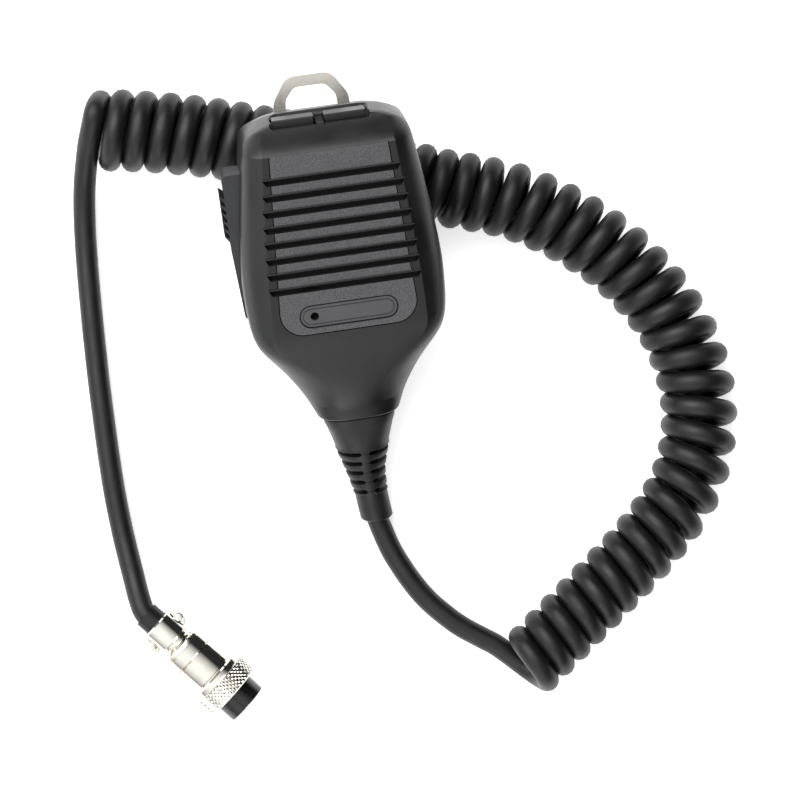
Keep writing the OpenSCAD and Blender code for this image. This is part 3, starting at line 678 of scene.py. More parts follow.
FIRST_SLOT = 7.15
SLOT_LONG, SLOT_SHORTER = 20.7, 2.25
SLOT_FLOOR_W = 26.9
SLOT_END_SLANT = 0.6


def slot_centre(i):
    """Height of a louvre slot, counted from the top."""
    return CREASE_V - FIRST_SLOT - i * case_sizes().slot_pitch


def slot_reach(i):
    """Half the length of a louvre slot."""
    last = max(1, case_sizes().slots - 1)
    return SLOT_LONG - SLOT_SHORTER * ((last - i) / last) ** 2


def slot_cutter(i):
    """One slot, a little longer at its upper edge than at its lower one."""
    sizes, half = case_sizes(), slot_reach(i)
    low, high = slot_centre(i) - sizes.slot_height / 2, slot_centre(i) + sizes.slot_height / 2
    over = FRONT_W + 1.0
    profile = [(low, SLOT_FLOOR_W), (high, SLOT_FLOOR_W), (high, over), (low, over)]
    ends = [(v, w, half - SLOT_END_SLANT * (high - v)) for v, w in profile]
    return loft([[(-u, v, w) for v, w, u in ends], [(u, v, w) for v, w, u in ends]])


def slot_fin(i):
    """The thin fin along the upper edge of a slot."""
    sizes, half = case_sizes(), slot_reach(i)
    edge = slot_centre(i) + sizes.slot_height / 2
    low, high = (-half, edge - 0.02, FRONT_W - 2.2), (half, edge + sizes.slot_lip, FRONT_W + sizes.fin_rise)
    return soften(block(low, high), 0.12, 40, 2)


GROOVE = 0.32
BED = 0.45
PANEL_ROUND = 6.4


def panel_outline(inset):
    """Outline of the grained panel from its upper left to its upper right corner."""
    low = (PANEL_LOW_HALF - inset, PANEL_LOW_V + inset, PANEL_ROUND - inset)
    top = (PANEL_TOP_HALF - inset, PANEL_TOP_V, 0)
    return rounded([(-top[0], *top[1:]), (-low[0], *low[1:]), low, top], 8)


def panel_slab(inset, low, high):
    """The panel, or with no inset its shallow bed in the moulding."""
    return loft([[(p.x, p.y, w) for p in panel_outline(inset)] for w in (low, high)])


def pill(length, height, middle, inset=0.0, steps=12):
    """A pill-shaped outline."""
    r = height / 2 - inset
    points = []
    for side, first in ((1, -90), (-1, 90)):
        for k in range(steps + 1):
            angle = math.radians(first + 180 * k / steps)
            points.append((side * (length - height) / 2 + r * math.cos(angle), middle + r * math.sin(angle)))
    return points


POCKET_X = -1.0
POCKET_HALF = 12.8
POCKET_LOW, POCKET_HIGH = 15.5, 21.9
POCKET_FLOOR = 84.4
POCKET_ROUND = 1.7
BRIDGE_HALF, BRIDGE_TOP = 1.0, 86.9
NOTCH_LOW = 86.2


def pocket_cutter():
    """The pocket of the two buttons, with a flared mouth."""
    middle, half = (POCKET_LOW + POCKET_HIGH) / 2, (POCKET_HIGH - POCKET_LOW) / 2
    loops = []
    for v, grow in ((POCKET_FLOOR, 0), (87.1, 0), (87.45, 0.06), (87.75, 0.2), (88.05, 0.45), (88.35, 0.8),
                    (89.2, 1.6)):
        a, b, r = POCKET_HALF + grow, half + grow, POCKET_ROUND + grow
        corners = [(-a, -b, r), (a, -b, r), (a, b, r), (-a, b, r)]
        loops.append([(POCKET_X + p.x, v, middle + p.y) for p in rounded(corners, 6)])
    return loft(loops)


def pocket_notch():
    """The notch in front of the pocket that bares the front of the buttons."""
    half = POCKET_HALF + 0.6
    corners = [(-half, NOTCH_LOW, 1.3), (half, NOTCH_LOW, 1.3), (half, 91, 0), (-half, 91, 0)]
    loops = []
    for w in (POCKET_HIGH - 0.6, 27.5):
        loops.append([(POCKET_X + p.x, p.y, w) for p in rounded(corners, 6)])
    return loft(loops)


WINDOW_U = -18.6
WINDOW_HALF = 6.0
WINDOW_GAP = 0.6


def lever_window():
    """The opening in the side of the case for the lever."""
    low = (-40, LEVER_LOW - WINDOW_GAP, SEAM - WINDOW_HALF)
    high = (WINDOW_U, LEVER_TOP + WINDOW_GAP, SEAM + WINDOW_HALF)
    return soften(block(low, high), 0.5)


def lit_or_painted_shade(face):
    """0 for a face that shows, 1 for a face that gets painted shade: deep in the pocket, a slot, the groove
    or the sound hole.
    """
    at, facing = face.center, face.normal
    across = abs(at.x - POCKET_X)
    # painted shade on the pocket's walls and on the upward faces under its mouth
    if at.y > 84 and across < 13.7 and at.z > POCKET_LOW - 0.1:
        in_pocket = at.z < POCKET_HIGH + 0.1 and 1.1 < across < POCKET_HALF + 0.05 and at.y < 87
        return 1 if in_pocket or facing.y > 0.97 and at.y < 87 else 0
    if not 26 < at.z < FRONT_W - 0.02:
        return 0
    # painted shade on the bed floor seen through the groove round the panel, drawn as a dark line
    if abs(at.z - FRONT_W + BED) < 0.02 and facing.z > 0.9999:
        return 1
    # painted shade on the slots' walls and floors, and inside the sound hole
    sunk = max(abs(facing.x), abs(facing.y)) > 0.97 or at.z < 27.5
    last = case_sizes().slots - 1
    in_slots = slot_centre(last) - 1 < at.y < slot_centre(0) + 1 and abs(at.x) < SLOT_LONG + 0.1
    in_hole = math.hypot(at.x - HOLE[0], at.y - HOLE[1]) < 1.3
    return 1 if (sunk and in_slots) or in_hole else 0


SEAT_GROWS = 0.7


class MIC_OT_front_case(bpy.types.Operator):
    """Make the front moulding with its louvre slots, panel, badge seat and button pocket"""

    bl_idname = "mic.front_case"
    bl_label = "Front moulding"

    def execute(self, context):
        front = as_object("front_moulding", case_half(True))
        outline = pill(BADGE_LONG + SEAT_GROWS, BADGE_TALL + SEAT_GROWS, BADGE_V)
        seat = loft([[(x, y, w) for x, y in outline] for w in (FRONT_W - 0.8, FRONT_W + 1)])
        openings = [slot_cutter(i) for i in range(case_sizes().slots)]
        openings += [seat, rod(HOLE_R, (*HOLE, 27.3), (*HOLE, 31))]
        panel = as_object("front_panel", panel_slab(GROOVE, FRONT_W - BED - 0.1, FRONT_W))
        cut(panel, [bm.copy() for bm in openings])
        bed = panel_slab(0, FRONT_W - BED, FRONT_W + 1)
        cut(front, [bed, pocket_cutter(), pocket_notch(), lever_window()])
        bridge = block((POCKET_X - BRIDGE_HALF, 84.0, 15.0), (POCKET_X + BRIDGE_HALF, BRIDGE_TOP, 24.5))
        cut(front, [bridge], "UNION")
        soften_object(
            front, 0.16, lambda e: all(v.co.y > 84.6 and abs(v.co.x - POCKET_X) < 15 for v in e.verts)
        )
        cut(front, openings)
        # the second material is the painted shade of the pocket, slots, groove and sound hole
        shade, slot = finish("painted deep shade"), "case_plastic"
        settle(front, CASE, ROOT, [finish("moulded case"), shade], ["front_case"], 16, lit_or_painted_shade)
        settle(panel, CASE, ROOT, [finish("grained panel"), shade], (), 20, lit_or_painted_shade)
        fins = as_object("louvre_fins", joined([slot_fin(i) for i in range(case_sizes().slots)]))
        settle(fins, CASE, ROOT, [finish("smooth key")])
        return {"FINISHED"}


LOOP_X = -1.4
LOOP_LEG = 10.7
LOOP_LOW = TOP_V - 26
LOOP_APEX = TOP_V + 6.8
LOOP_W = (0.05, 1.25)
SCREWS = [(18.3, 80.5), (-18.3, 80.5), (14.0, 21.0), (-14.0, 21.0)]
WELL = ((-1.0, 3.6), (0.0, 3.05), (0.3, 2.75), (2.6, 2.7))


class MIC_OT_rear_case(bpy.types.Operator):
    """Make the rear moulding with its screw wells and the seat of the hanging loop"""

    bl_idname = "mic.rear_case"
    bl_label = "Rear moulding"

    def execute(self, context):
        rear = as_object("rear_moulding", case_half(False))
        cutters = [lever_window()]
        for screw in SCREWS:
            cutters.append(loft([flat_circle(radius, w, screw) for w, radius in WELL]))
        wide = LOOP_LEG + 0.3
        seat = rounded(both_sides([
            (LOOP_LEG - 0.7, LOOP_LOW - 0.3, 1.8), (wide, TOP_V - 6, 4), (wide, TOP_V + 2, 0),
        ]))
        cutters.append(loft([[(LOOP_X + p.x, p.y, w) for p in seat] for w in (-1.0, 1.3)]))
        cut(rear, cutters)
        settle(rear, CASE, ROOT, [finish("moulded case")], ["rear_case"], 20)
        return {"FINISHED"}


class MIC_OT_badge(bpy.types.Operator):
    """Make the plain badge plate with its sound hole"""

    bl_idname = "mic.badge"
    bl_label = "Badge plate"

    def execute(self, context):
        steps = [(FRONT_W - 0.8, 0.0), (FRONT_W - 0.3, 0.0), (FRONT_W - 0.12, 0.12), (FRONT_W - 0.12, 0.6),
                 (FRONT_W - 0.42, 0.68), (FRONT_W - 0.42, 0.9), (FRONT_W - 0.1, 0.98), (FRONT_W - 0.05, 1.2)]
        loops = [[(x, y, w) for x, y in pill(BADGE_LONG, BADGE_TALL, BADGE_V, inset)] for w, inset in steps]
        badge = as_object("badge", loft(loops))
        cut(badge, [rod(HOLE_R, (*HOLE, 27), (*HOLE, 31))])
        settle(badge, CASE, ROOT, [finish("badge plate")], ["badge_plate"], 20)
        return {"FINISHED"}


# ---------------------------------------------------------------- moving pieces


LEVER_OUT, LEVER_IN = 28.8, 22.6
LEVER_HALF = 5.4
FIRST_RIDGE, RIDGE_PITCH = 5.4, 2.18
CORNER_STEPS = 6


def lever_outline():
    """Outline of the lever with its leaning grip ridges, in u and v."""
    out = LEVER_OUT
    corners = rounded([
        (-LEVER_IN, LEVER_LOW + 0.6, 0.8), (-27.5, LEVER_LOW, 1.2), (-out, 54, 30), (-out, LEVER_TOP, 1.3),
        (-LEVER_IN, LEVER_TOP, 0.5),
    ], CORNER_STEPS)
    under_ridges = 3 * (CORNER_STEPS + 1)
    below, above = corners[:under_ridges], corners[under_ridges:]
    ridges = []
    for i in reversed(range(case_sizes().ridges)):
        v = LEVER_TOP - FIRST_RIDGE - i * RIDGE_PITCH
        ridges += [(-out, v - 2.0), (-out - 1.2, v - 0.3), (-out - 1.15, v + 0.02), (-out + 0.1, v - 0.95)]
    return [tuple(p) for p in below] + ridges + [tuple(p) for p in above]


class MIC_OT_lever(bpy.types.Operator):
    """Make the press-to-talk lever"""

    bl_idname = "mic.lever"
    bl_label = "Press-to-talk lever"

    def execute(self, context):
        bm = plate(lever_outline(), SEAM - LEVER_HALF, SEAM + LEVER_HALF)
        soften(bm, 0.3, 50, 2, lambda e: all(v.co.x > -LEVER_OUT - 0.05 for v in e.verts))
        lever = as_object("lever", bm)
        cut(lever, [rod(1.05, (PIVOT.x, PIVOT.y, 0), (PIVOT.x, PIVOT.y, 30))])
        settle(lever, CASE, "ptt_lever", [finish("grained lever")], ["ptt_lever"], 25)
        pin = as_object("pivot_pin", rod(1.0, (PIVOT.x, PIVOT.y, 4), (PIVOT.x, PIVOT.y, 23)))
        settle(pin, CASE, ROOT, [finish("zinc steel")], ["ptt_pivot_pin"])
        return {"FINISHED"}


BUTTON_APART, BUTTON_HALF = 6.95, 5.6
BUTTON_LOW, BUTTON_HIGH = (85.2, 16.1), (88.3, 21.3)


class MIC_OT_buttons(bpy.types.Operator):
    """Make the two top buttons, with plain faces"""

    bl_idname = "mic.buttons"
    bl_label = "Top buttons"

    def execute(self, context):
        for side, name in ((1, "up_button"), (-1, "down_button")):
            middle = POCKET_X + side * BUTTON_APART
            bm = block((middle - BUTTON_HALF, *BUTTON_LOW), (middle + BUTTON_HALF, *BUTTON_HIGH))
            key = as_object(name + "_key", soften(bm, 0.35, 40, 3))
            settle(key, CASE, name, [finish("smooth key")], [name], 30)
        return {"FINISHED"}


class MIC_OT_hang_loop(bpy.types.Operator):
    """Make the plated hanging loop"""

    bl_idname = "mic.hang_loop"
    bl_label = "Hanging loop"

    def execute(self, context):
        outer = rounded(both_sides([
            (LOOP_LEG - 1, LOOP_LOW, 1.5), (LOOP_LEG, TOP_V - 6, 4), (LOOP_LEG - 0.4, LOOP_APEX - 6.6, 5),
            (LOOP_LEG - 4.6, LOOP_APEX, 4.5),
        ]), 8)
        hole = rounded(both_sides([
            (LOOP_LEG - 3.2, TOP_V - 8.5, 2), (LOOP_LEG - 3.8, LOOP_APEX - 6.4, 3),
            (LOOP_LEG - 6.4, LOOP_APEX - 3.1, 2.6),
        ]), 8)
        outer, hole = ([(LOOP_X + p.x, p.y) for p in outline] for outline in (outer, hole))
        loop = as_object("hanging_loop", soften(plate(outer, *LOOP_W, [hole]), 0.12, 50))
        settle(loop, CASE, ROOT, [finish("nickel sheet")], ["hang_loop"], 15)
        return {"FINISHED"}


# ---------------------------------------------------------------- strain relief

BOOT_RADII = [
    (2.6, 10.0), (2.3, 10.2), (-1, 9.3), (-5, 8.2), (-9, 7.15), (-13, 6.05), (-17, 5.15), (-20, 4.8),
    (-23, 4.62), (-30.1, 4.6), (-30.5, 4.3),
]
BOOT_LEAN = [(0, 0), (-14.5, 0.05), (-19, 0.4), (-23, 0.8), (-26.5, 1.1), (-30.5, 1.5)]
BOOT_SLOTS = [-8.9, -11.95, -15.0, -18.05, -21.1]
SLOT_TALL = 1.25
SLOT_DEEP = 1.8
SLOT_LIPS = ((0.25, 0.0, 0.28), (0.06, 0.0, 0.2), (0.0, 0.12, 0.12), (-0.04, SLOT_DEEP, 0.0))
ABOVE_SLOTS = (2.6, 2.3, 1, -1, -3, -5, -7.3)
BELOW_SLOTS = (-22.3, -23.2, -25, -27, -29, -30.1, -30.5)
BOOT_COLUMNS = 144
SLOT_END, SLOT_END_ROUND = 1.75, 0.7


class MIC_OT_strain_relief(bpy.types.Operator):
    """Make the strain relief with its rows of flexing slots"""

    bl_idname = "mic.strain_relief"
    bl_label = "Strain relief"

    def execute(self, context):
        radii = [(-v, r) for v, r in BOOT_RADII]
        lean = [(-v, x) for v, x in BOOT_LEAN]
        rows = [(3.3, 9.4, 0), (2.65, 9.4, 0)]
        rows += [(p, along_table(radii, -p), 0) for p in ABOVE_SLOTS]
        for slot in BOOT_SLOTS:
            for side, lips in ((1, SLOT_LIPS), (-1, SLOT_LIPS[::-1])):
                for off, depth, swell in lips:
                    v = slot + side * SLOT_TALL / 2 + side * off
                    rows.append((v, along_table(radii, -v) + swell, depth))
        rows += [(p, along_table(radii, -p), 0) for p in BELOW_SLOTS]
        loops = []
        for v, radius, depth in rows:
            lean_u = along_table(lean, max(0, -v))
            row = []
            middle = min(BOOT_SLOTS, key=lambda slot: abs(slot - v))
            in_slot = abs(v - middle) < SLOT_TALL / 2 + 0.3
            for k in range(BOOT_COLUMNS):
                angle = math.tau * (k + 0.5) / BOOT_COLUMNS
                off_rib = abs(math.cos(angle)) * radius
                sunk = depth * ease(off_rib, 0.95, 1.2)
                across, up = squarish(radius - sunk, angle, 2 + (NECK_SQUARE - 2) * ease(v, -11, 3))
                near = min(max((SLOT_END - off_rib) / SLOT_END_ROUND, 0), 1)
                pinch = 0.85 * (1 - math.sqrt(1 - near * near)) if in_slot else 0
                row.append((lean_u + across, v + (middle - v) * pinch, NECK_W + up))
            loops.append(row)
        boot = as_object("strain_relief_sleeve", loft(loops))
        settle(boot, CASE, ROOT, [finish("cord jacket")], ["strain_relief"], 28)
        return {"FINISHED"}


# ---------------------------------------------------------------- cord

LEAD_IN = [
    (4, -65.5, 3.4), (5.6, -71, 3.1), (7.7, -76, 3.1), (10.2, -81, 3.1), (13.3, -86, 3.1), (17, -90.5, 3.1),
    (22, -95.5, 3.1), (28, -100, 3.1), (32, -103, 3.1),
]
COIL = [
    (35.5, -111, 10.2), (42.5, -105.7, 10.3), (61, -92, 10.4), (77.3, -79.3, 10.6), (89.8, -66, 10.8),
    (96.5, -50, 10.9), (97.2, -32.5, 11), (91.5, -14.2, 11), (77.6, 4.6, 11.1), (56, 20.3, 11.1),
    (31, 29.3, 11.1), (20, 34.5, 11.1), (6, 40.2, 11.2), (-20, 48.5, 11.4), (-40, 53.8, 11.5),
    (-61, 57.8, 11.6),
]
LEAD_OUT = [
    (-57, 66.5, 14), (-58.5, 62, 19), (-60.5, 57, 17), (-62.5, 52, 12.5), (-65, 43, 7), (-66.5, 34, 4.2),
    (-67.6, 22.5, 3.1), (-68.3, 11, 3.1), (-68.8, 0, 3.1), (-69.2, -11.5, 3.1), (-69.4, -22.5, 3.1),
    (-69.5, -34, 3.1), (-69.3, -45.5, 3.1), (-68.6, -56.5, 3.6), (-67.4, -67.5, 5.8), (-66.5, -74.5, 8),
]
COIL_SKIP, COIL_STOP = 3.2, 2.6
COIL_STEPS = 1600
LOOK_AHEAD = 4
EASE_ROUNDS, EASE_REACH = 3, 6
IN_THE_BOOT, IN_THE_CLAMP = ((1.5, -30.5), (1.0, -25.5)), (-4.5, 0.0, 4.0)


def coil_turns(sizes):
    """Points of the cord's turns round the coil's middle line, which start under it."""
    middle = smooth_path([Vector(p) for p in COIL], 24)
    gone, way = 0.0, [0.0]
    for a, b in zip(middle, middle[1:]):
        gone += (b - a).length
        way.append(gone)
    thick, pitch = sizes.diameter / MM, sizes.pitch / MM

    def spot(s):
        """Middle point and direction at distance s."""
        i = min(max(k for k in range(len(way) - 1) if way[k] <= s), len(way) - 2)
        t = (s - way[i]) / (way[i + 1] - way[i])
        here = middle[i].lerp(middle[i + 1], t)
        before, after = middle[max(i - 3, 0)], middle[min(i + 4, len(middle) - 1)]
        return here, Vector((after.x - before.x, after.y - before.y, 0)).normalized()

    start, stop = COIL_SKIP, gone - COIL_STOP
    reach = (stop - start) / COIL_STEPS
    turned = [0.0]
    for k in range(COIL_STEPS):
        s = start + reach * k
        _, one = spot(max(s - LOOK_AHEAD, 0))
        _, two = spot(min(s + LOOK_AHEAD, gone - 0.01))
        curl = one.angle(two) / (min(s + LOOK_AHEAD, gone) - max(s - LOOK_AHEAD, 0))
        here, _ = spot(s)
        turned.append(turned[-1] + reach * (1 - (here.z - thick / 2) * curl) / pitch)
    turns = round(turned[-1] - 0.25) + 0.25
    points = []
    count = int(turns * sizes.turn_points)
    k = 0
    for n in range(count + 1):
        goal = turned[-1] * n / count
        while k < COIL_STEPS - 1 and turned[k + 1] < goal:
            k += 1
        part = (goal - turned[k]) / (turned[k + 1] - turned[k])
        here, ahead = spot(start + reach * (k + part))
        side = Vector((ahead.y, -ahead.x, 0))
        radius = here.z - thick / 2
        angle = math.tau * turns * n / count
        points.append(here + (side * math.sin(angle) + Vector((0, 0, -math.cos(angle)))) * radius)
    return points


def cord_route(sizes):
    """Every point of the cord's middle line, in metres."""
    start, into = (CASE @ Vector((*place, NECK_W)) / MM for place in IN_THE_BOOT)
    coil = coil_turns(sizes)
    lead_in = smooth_path([into, start, *[Vector(p) for p in LEAD_IN], coil[0]], 5)
    ends = [PLUG @ Vector((x, 0, 0)) / MM for x in IN_THE_CLAMP]
    lead_out = smooth_path([coil[-1], *[Vector(p) for p in LEAD_OUT[1:]], *ends], 6)
    route = [*lead_in[:-1], *coil, *lead_out[1:]]
    for _ in range(EASE_ROUNDS):
        eased = list(route)
        joins = (len(lead_in) - 1, len(lead_in) - 2 + len(coil))
        for join in joins:
            for i in range(max(1, join - EASE_REACH), min(len(route) - 1, join + EASE_REACH + 1)):
                eased[i] = (route[i - 1] + route[i] * 2 + route[i + 1]) / 4
        route = eased
    return [p * MM for p in route]


class MIC_OT_cord(bpy.types.Operator):
    """Make the curly cord from the strain relief to the plug"""

    bl_idname = "mic.cord"
    bl_label = "Curly cord"

    def execute(self, context):
        sizes = context.scene.mic_cord
        route = cord_route(sizes)
        curve = bpy.data.curves.new("curly_cord", "CURVE")
        curve.dimensions = "3D"
        curve.bevel_depth = sizes.diameter / 2
        curve.bevel_resolution = 5
        curve.use_fill_caps = True
        spline = curve.splines.new("POLY")
        spline.points.add(len(route) - 1)
        for point, place in zip(spline.points, route):
            point.co = (*place, 1)
        spline.use_smooth = True
        cord = bpy.data.objects.new("curly_cord", curve)
        context.scene.collection.objects.link(cord)
        curve.materials.append(finish("cord jacket"))
        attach(cord, ROOT)
        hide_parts("cord_lead_in", "cord_coil", "cord_lead_out")
        return {"FINISHED"}


# ---------------------------------------------------------------- plug

GROOVE_AT, FLANGE_AT, RING_END = 13.3, 23.2, 28.3
BARREL_R = 6.9
RING_D = 18.2
PLUG_STEPS = 96
KNURL_CELLS = 42
KNURL_POINTS = 4
KNURL_DEEP = 0.32


def knurl(turn, along):
    """Height of a diamond knurl, 0 in its grooves and 1 on its points."""
    one, two = (turn + along) % 1, (turn - along) % 1
    return 2 * min(one, 1 - one, two, 1 - two)


class MIC_OT_plug(bpy.types.Operator):
    """Make the plug's barrel and its knurled coupling ring"""

    bl_idname = "mic.plug"
    bl_label = "Locking plug"

    def execute(self, context):
        groove, ring, flange, end = GROOVE_AT, RING_AT, FLANGE_AT, RING_END
        barrel = as_object("barrel", lathe([
            (groove + 0.05, 5.0), (groove + 0.05, 6.5), (groove + 0.35, BARREL_R), (ring - 0.55, BARREL_R),
            (ring - 0.3, 6.65), (ring - 0.3, 6.4), (flange + 0.2, 6.4), (flange + 0.2, 7.2),
            (flange + 1.2, 7.2), (flange + 1.2, 5.0),
        ], PLUG_STEPS))
        settle(barrel, PLUG, ROOT, [finish("nickel plate")], ["plug_barrel"], 24)

        cells, per = KNURL_CELLS, KNURL_POINTS
        pitch = math.pi * RING_D / cells
        low, high = ring + 2.25, end - 0.45
        count = round((high - low) / pitch * per)
        stations = [(ring, 6.5, 0), (ring, 8.0, 0), (ring + 0.45, 8.45, 0), (ring + 1.7, 8.45, 0),
                    (ring + 1.95, 8.5, 0), (ring + 2.1, 9.0, 0)]
        stations += [(low + (high - low) * k / count, RING_D / 2, KNURL_DEEP) for k in range(count + 1)]
        stations += [(end - 0.25, 8.85, 0), (end, 8.5, 0), (end, 7.7, 0), (end - 0.1, 7.6, 0),
                     (flange, 7.6, 0), (flange, 6.5, 0)]
        loops = []
        for x, radius, deep in stations:
            loop = []
            for k in range(cells * per):
                r = radius - deep * (1 - knurl(k / per, (x - low) / pitch))
                angle = math.tau * k / (cells * per)
                loop.append((x, r * math.cos(angle), r * math.sin(angle)))
            loops.append(loop)
        bm = bmesh.new()
        rings = []
        for loop in loops:
            verts = [bm.verts.new(p) for p in loop]
            rings.append([bm.edges.new((verts[i - 1], verts[i])) for i in range(len(verts))])
        for one, two in zip(rings, [*rings[1:], rings[0]]):
            bmesh.ops.bridge_loops(bm, edges=one + two)
        bmesh.ops.recalc_face_normals(bm, faces=bm.faces)
        knurled = as_object("knurled_ring", bm)
        settle(knurled, PLUG, "coupling_ring", [finish("nickel plate")], ["coupling_ring"], 24)
        return {"FINISHED"}


EAR, EAR_HALF, EAR_ROUND = 6.9, 2.7, 2.5
CLAMP_MID = 2.8
CLAMP_SPLIT = 0.3
CORD_HOLE_R = 3.75
SCREW_Y, SLIT_HALF = 5.55, 0.17
HEAD = ((-2.6, 1.0), (1.7, 1.0), (1.7, 1.25), (2.35, 1.25), (2.62, 1.0), (2.7, 0.7))


def ear_plate(low, high):
    """The flat of a clamp half, with a round ear at each side."""
    rear, fore = CLAMP_MID - EAR_HALF, CLAMP_MID + EAR_HALF
    corners = [(x, y, EAR_ROUND) for x, y in ((rear, -EAR), (fore, -EAR), (fore, EAR), (rear, EAR))]
    return soften(plate([tuple(p) for p in rounded(corners, 8)], low, high), 0.25, 50)


class MIC_OT_plug_clamp(bpy.types.Operator):
    """Make the two halves of the cable clamp, the plug's shoulder and the clamp screws"""

    bl_idname = "mic.plug_clamp"
    bl_label = "Cable clamp"

    def execute(self, context):
        tail = as_object("plug_tail_body", lathe([
            (-0.9, CORD_HOLE_R), (-0.9, 4.7), (-0.5, 5.0), (6.3, 5.0), (6.6, 4.75), (7.1, 4.75), (7.5, 5.0),
            (8.2, 6.3), (8.6, 6.75), (9.0, BARREL_R), (9.4, BARREL_R), (9.55, 6.72), (9.8, 6.72),
            (9.95, BARREL_R), (13.0, BARREL_R), (GROOVE_AT, 6.6), (GROOVE_AT, CORD_HOLE_R),
        ], PLUG_STEPS))
        cut(tail, [ear_plate(-2.2, -CLAMP_SPLIT)], "UNION")
        cut(tail, [block((-2, -8, -CLAMP_SPLIT), (6.4, 8, 8))])
        settle(tail, PLUG, ROOT, [finish("nickel plate")], ["plug_tail"], 24)
        bar = as_object("clamp_bar", lathe([
            (-0.6, CORD_HOLE_R), (-0.6, 4.85), (-0.2, 5.25), (5.9, 5.25), (6.35, 4.85), (6.35, CORD_HOLE_R),
        ], PLUG_STEPS))
        cut(bar, [ear_plate(CLAMP_SPLIT, 2.0)], "UNION")
        cut(bar, [block((-2, -9, -9), (9, 9, CLAMP_SPLIT)), rod(CORD_HOLE_R, (-2, 0, 0), (9, 0, 0))])
        settle(bar, PLUG, ROOT, [finish("nickel plate")], ["plug_clamp_bar"], 24)
        heads, slits = [], []
        for y in (-SCREW_Y, SCREW_Y):
            heads.append(loft([flat_circle(r, z, (CLAMP_MID + 0.1, y), 24) for z, r in HEAD]))
            low, high = (CLAMP_MID - 1.3, y - SLIT_HALF, 2.35), (CLAMP_MID + 1.5, y + SLIT_HALF, 3)
            slits.append(block(low, high))
        screws = as_object("clamp_screws", joined(heads))
        cut(screws, slits)
        settle(screws, PLUG, ROOT, [finish("nickel plate")], ["plug_clamp_screws"], 24)
        return {"FINISHED"}


class MIC_OT_carried_over(bpy.types.Operator):
    """Give the pieces that keep their exact shape their finishes"""

    bl_idname = "mic.carried_over"
    bl_label = "Exact pieces"

    def execute(self, context):
        by_finish = {
            "zinc steel": ["case_screws", "ptt_spring", "board_screws", "loop_screws", "cord_clamp",
                           "cord_clamp_screws", "insert_screw"],
            "plug nose": ["plug_insert"],
            "cord jacket": ["plug_sleeve", "cord_tail", "capsule_holder"],
            "dust cloth": ["louvre_cloth"],
            "capsule": ["mic_capsule"],
            "pale plastic": ["ptt_plunger", "up_plunger", "down_plunger", "lead_header"],
            "dark plastic": ["ptt_switch", "push_switches", "board_components"],
            "lacquered board": ["main_board", "button_board"],
            "wire": ["lead_wires", "plug_wires"],
            "contact": ["plug_contacts"],
        }
        for key, names in by_finish.items():
            for name in names:
                mesh = frame["nodes"][name].data
                mesh.materials.clear()
                mesh.materials.append(finish(key))
        return {"FINISHED"}


# ---------------------------------------------------------------- stage


class StageSizes(bpy.types.PropertyGroup):
    """Camera and light of the stage"""

    height: bpy.props.FloatProperty(
        name="Camera height", description="Distance from the table", default=0.7, min=0.3, max=3,
        unit="LENGTH",
    )
    lens: bpy.props.FloatProperty(
        name="Lens", description="Focal length in mm", default=110.25, min=30, max=200
    )
    turn: bpy.props.FloatProperty(
        name="Turn", description="Turn of the camera about its axis", default=math.radians(8.3),
        subtype="ANGLE",
    )
    lean: bpy.props.FloatProperty(
        name="Lean", description="Lean of the camera to one side", default=math.radians(4.1), subtype="ANGLE"
    )
    sky: bpy.props.FloatProperty(
        name="Sky", description="Strength of the light from all round", default=1.5, min=0, max=5
    )


LOOK_AT = Vector((0.0145, -0.0294, 0.0))
SKY_AXIS = (-0.55, 0.0, 0.835)
SOFTBOXES = (("rear softbox", (-0.4, 0.6, 1.0), 1.1, 14), ("front softbox", (-0.25, -1.0, 0.5), 0.7, 3.4))
TABLE_LOW, TABLE_GLOW = -0.0003, 0.55


def make_camera(stage):
    """A camera above the table, turned and leaned as the object is seen."""
    a, b = stage.lean, stage.turn
    right = Vector((math.cos(a) * math.cos(b), -math.cos(a) * math.sin(b), math.sin(a)))
    up = Vector((math.sin(b), math.cos(b), 0))
    back = right.cross(up)
    camera = bpy.data.objects.new("camera", bpy.data.cameras.new("camera"))
    camera.data.lens = stage.lens
    camera.data.sensor_width = 36
    camera.data.clip_start = 0.01
    camera.matrix_world = Matrix.Translation(LOOK_AT + back * stage.height) @ Matrix(
        (right, up, back)
    ).transposed().to_4x4()
    bpy.context.scene.collection.objects.link(camera)
    bpy.context.scene.camera = camera


def area_light(name, place, size, watts):
    """A soft square light that looks at the middle of the table."""
    data = bpy.data.lights.new(name, "AREA")
    data.shape = "SQUARE"
    data.size = size
    data.energy = watts
    light = bpy.data.objects.new(name, data)
    light.location = place
    light.rotation_euler = (-Vector(place)).to_track_quat("-Z", "Y").to_euler()
    bpy.context.scene.collection.objects.link(light)


def make_sky(strength):
    """Light from all round, brightest overhead and a little to the left."""
    world = bpy.data.worlds.new("studio")
    bpy.context.scene.world = world
    world.use_nodes = True
    nodes, links = world.node_tree.nodes, world.node_tree.links
    towards = nodes.new("ShaderNodeVectorMath")
    towards.operation = "DOT_PRODUCT"
    towards.inputs[1].default_value = SKY_AXIS
    links.new(nodes.new("ShaderNodeTexCoord").outputs["Generated"], towards.inputs[0])
    ramp = nodes.new("ShaderNodeValToRGB")
    ramp.color_ramp.elements[0].position = 0.28
    ramp.color_ramp.elements[0].color = (0.02, 0.02, 0.022, 1)
    ramp.color_ramp.elements[1].position = 0.95
    ramp.color_ramp.elements[1].color = (1, 1, 1, 1)
    links.new(towards.outputs["Value"], ramp.inputs["Fac"])
    links.new(ramp.outputs["Color"], nodes["Background"].inputs["Color"])
    nodes["Background"].inputs["Strength"].default_value = strength


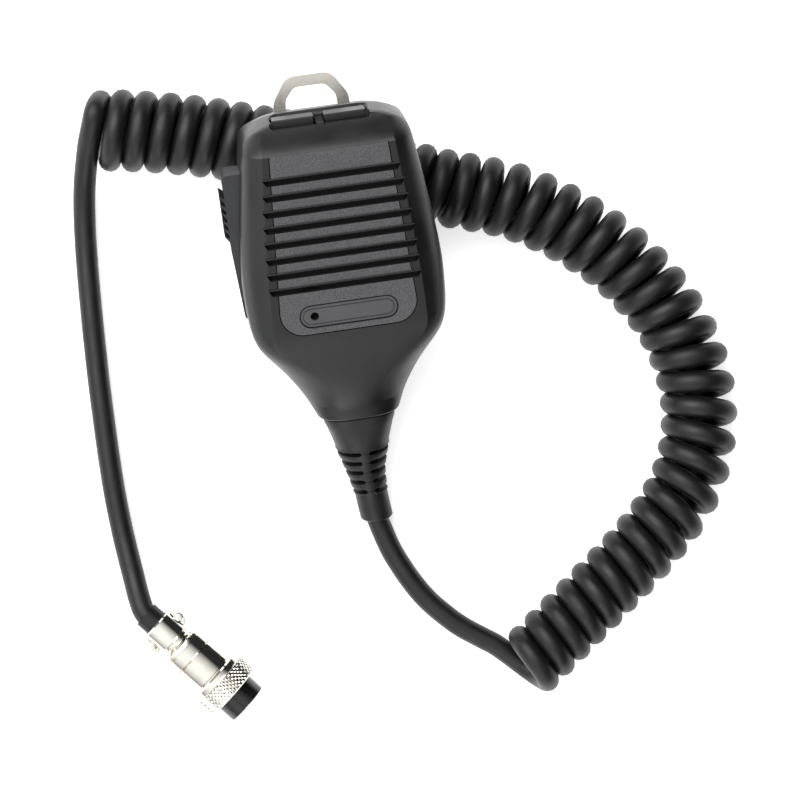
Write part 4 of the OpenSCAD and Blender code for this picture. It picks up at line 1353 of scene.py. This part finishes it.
class MIC_OT_stage(bpy.types.Operator):
    """Make the table top, the soft light and the camera"""

    bl_idname = "mic.stage"
    bl_label = "Stage"

    def execute(self, context):
        stage = context.scene.mic_stage
        make_camera(stage)
        make_sky(stage.sky)
        for softbox in SOFTBOXES:
            area_light(*softbox)
        bm = bmesh.new()
        bmesh.ops.create_grid(bm, x_segments=1, y_segments=1, size=3)
        floor = as_object("table_top", bm)
        floor.data.transform(Matrix.Translation((0, 0, TABLE_LOW)))
        white = Surface("pale table", (0.93, 0.93, 0.93), 0.8)
        white.gloss(white.noise(6, 2.0), 0.75, 0.85)
        white.shader.inputs["Emission Color"].default_value = (1, 1, 1, 1)
        white.shader.inputs["Emission Strength"].default_value = TABLE_GLOW
        floor.data.materials.append(white.material)
        context.scene.view_settings.view_transform = "Standard"
        return {"FINISHED"}


class MIC_PT_pieces(bpy.types.Panel):
    """Lists the microphone's pieces in the sidebar"""

    bl_idname = "MIC_PT_pieces"
    bl_label = "Hand Microphone"
    bl_space_type = "VIEW_3D"
    bl_region_type = "UI"
    bl_category = "Hand Microphone"

    def draw(self, context):
        for operator in MAKERS:
            self.layout.operator(operator.bl_idname)


GROUPS = {"mic_case": CaseSizes, "mic_cord": CordSizes, "mic_finishes": Finishes, "mic_stage": StageSizes}
MAKERS = (
    MIC_OT_stage, MIC_OT_cord, MIC_OT_front_case, MIC_OT_rear_case, MIC_OT_badge, MIC_OT_lever,
    MIC_OT_buttons, MIC_OT_hang_loop, MIC_OT_strain_relief, MIC_OT_plug_clamp, MIC_OT_plug,
    MIC_OT_carried_over,
)


def register():
    """Registers the classes and hangs the settings on the scene."""
    for cls in (*GROUPS.values(), *MAKERS, MIC_PT_pieces):
        bpy.utils.register_class(cls)
    for name, group in GROUPS.items():
        setattr(bpy.types.Scene, name, bpy.props.PointerProperty(type=group))


def unregister():
    """Takes the settings and classes away again."""
    for name in GROUPS:
        delattr(bpy.types.Scene, name)
    for cls in reversed((*GROUPS.values(), *MAKERS, MIC_PT_pieces)):
        bpy.utils.unregister_class(cls)


def main():
    """Makes every piece in order."""
    register()
    for maker in MAKERS:
        group, name = maker.bl_idname.split(".")
        result = getattr(getattr(bpy.ops, group), name)()
        if result != {"FINISHED"}:
            raise RuntimeError(f"{maker.bl_label} wasn't made")


if __name__ == "__main__":
    main()
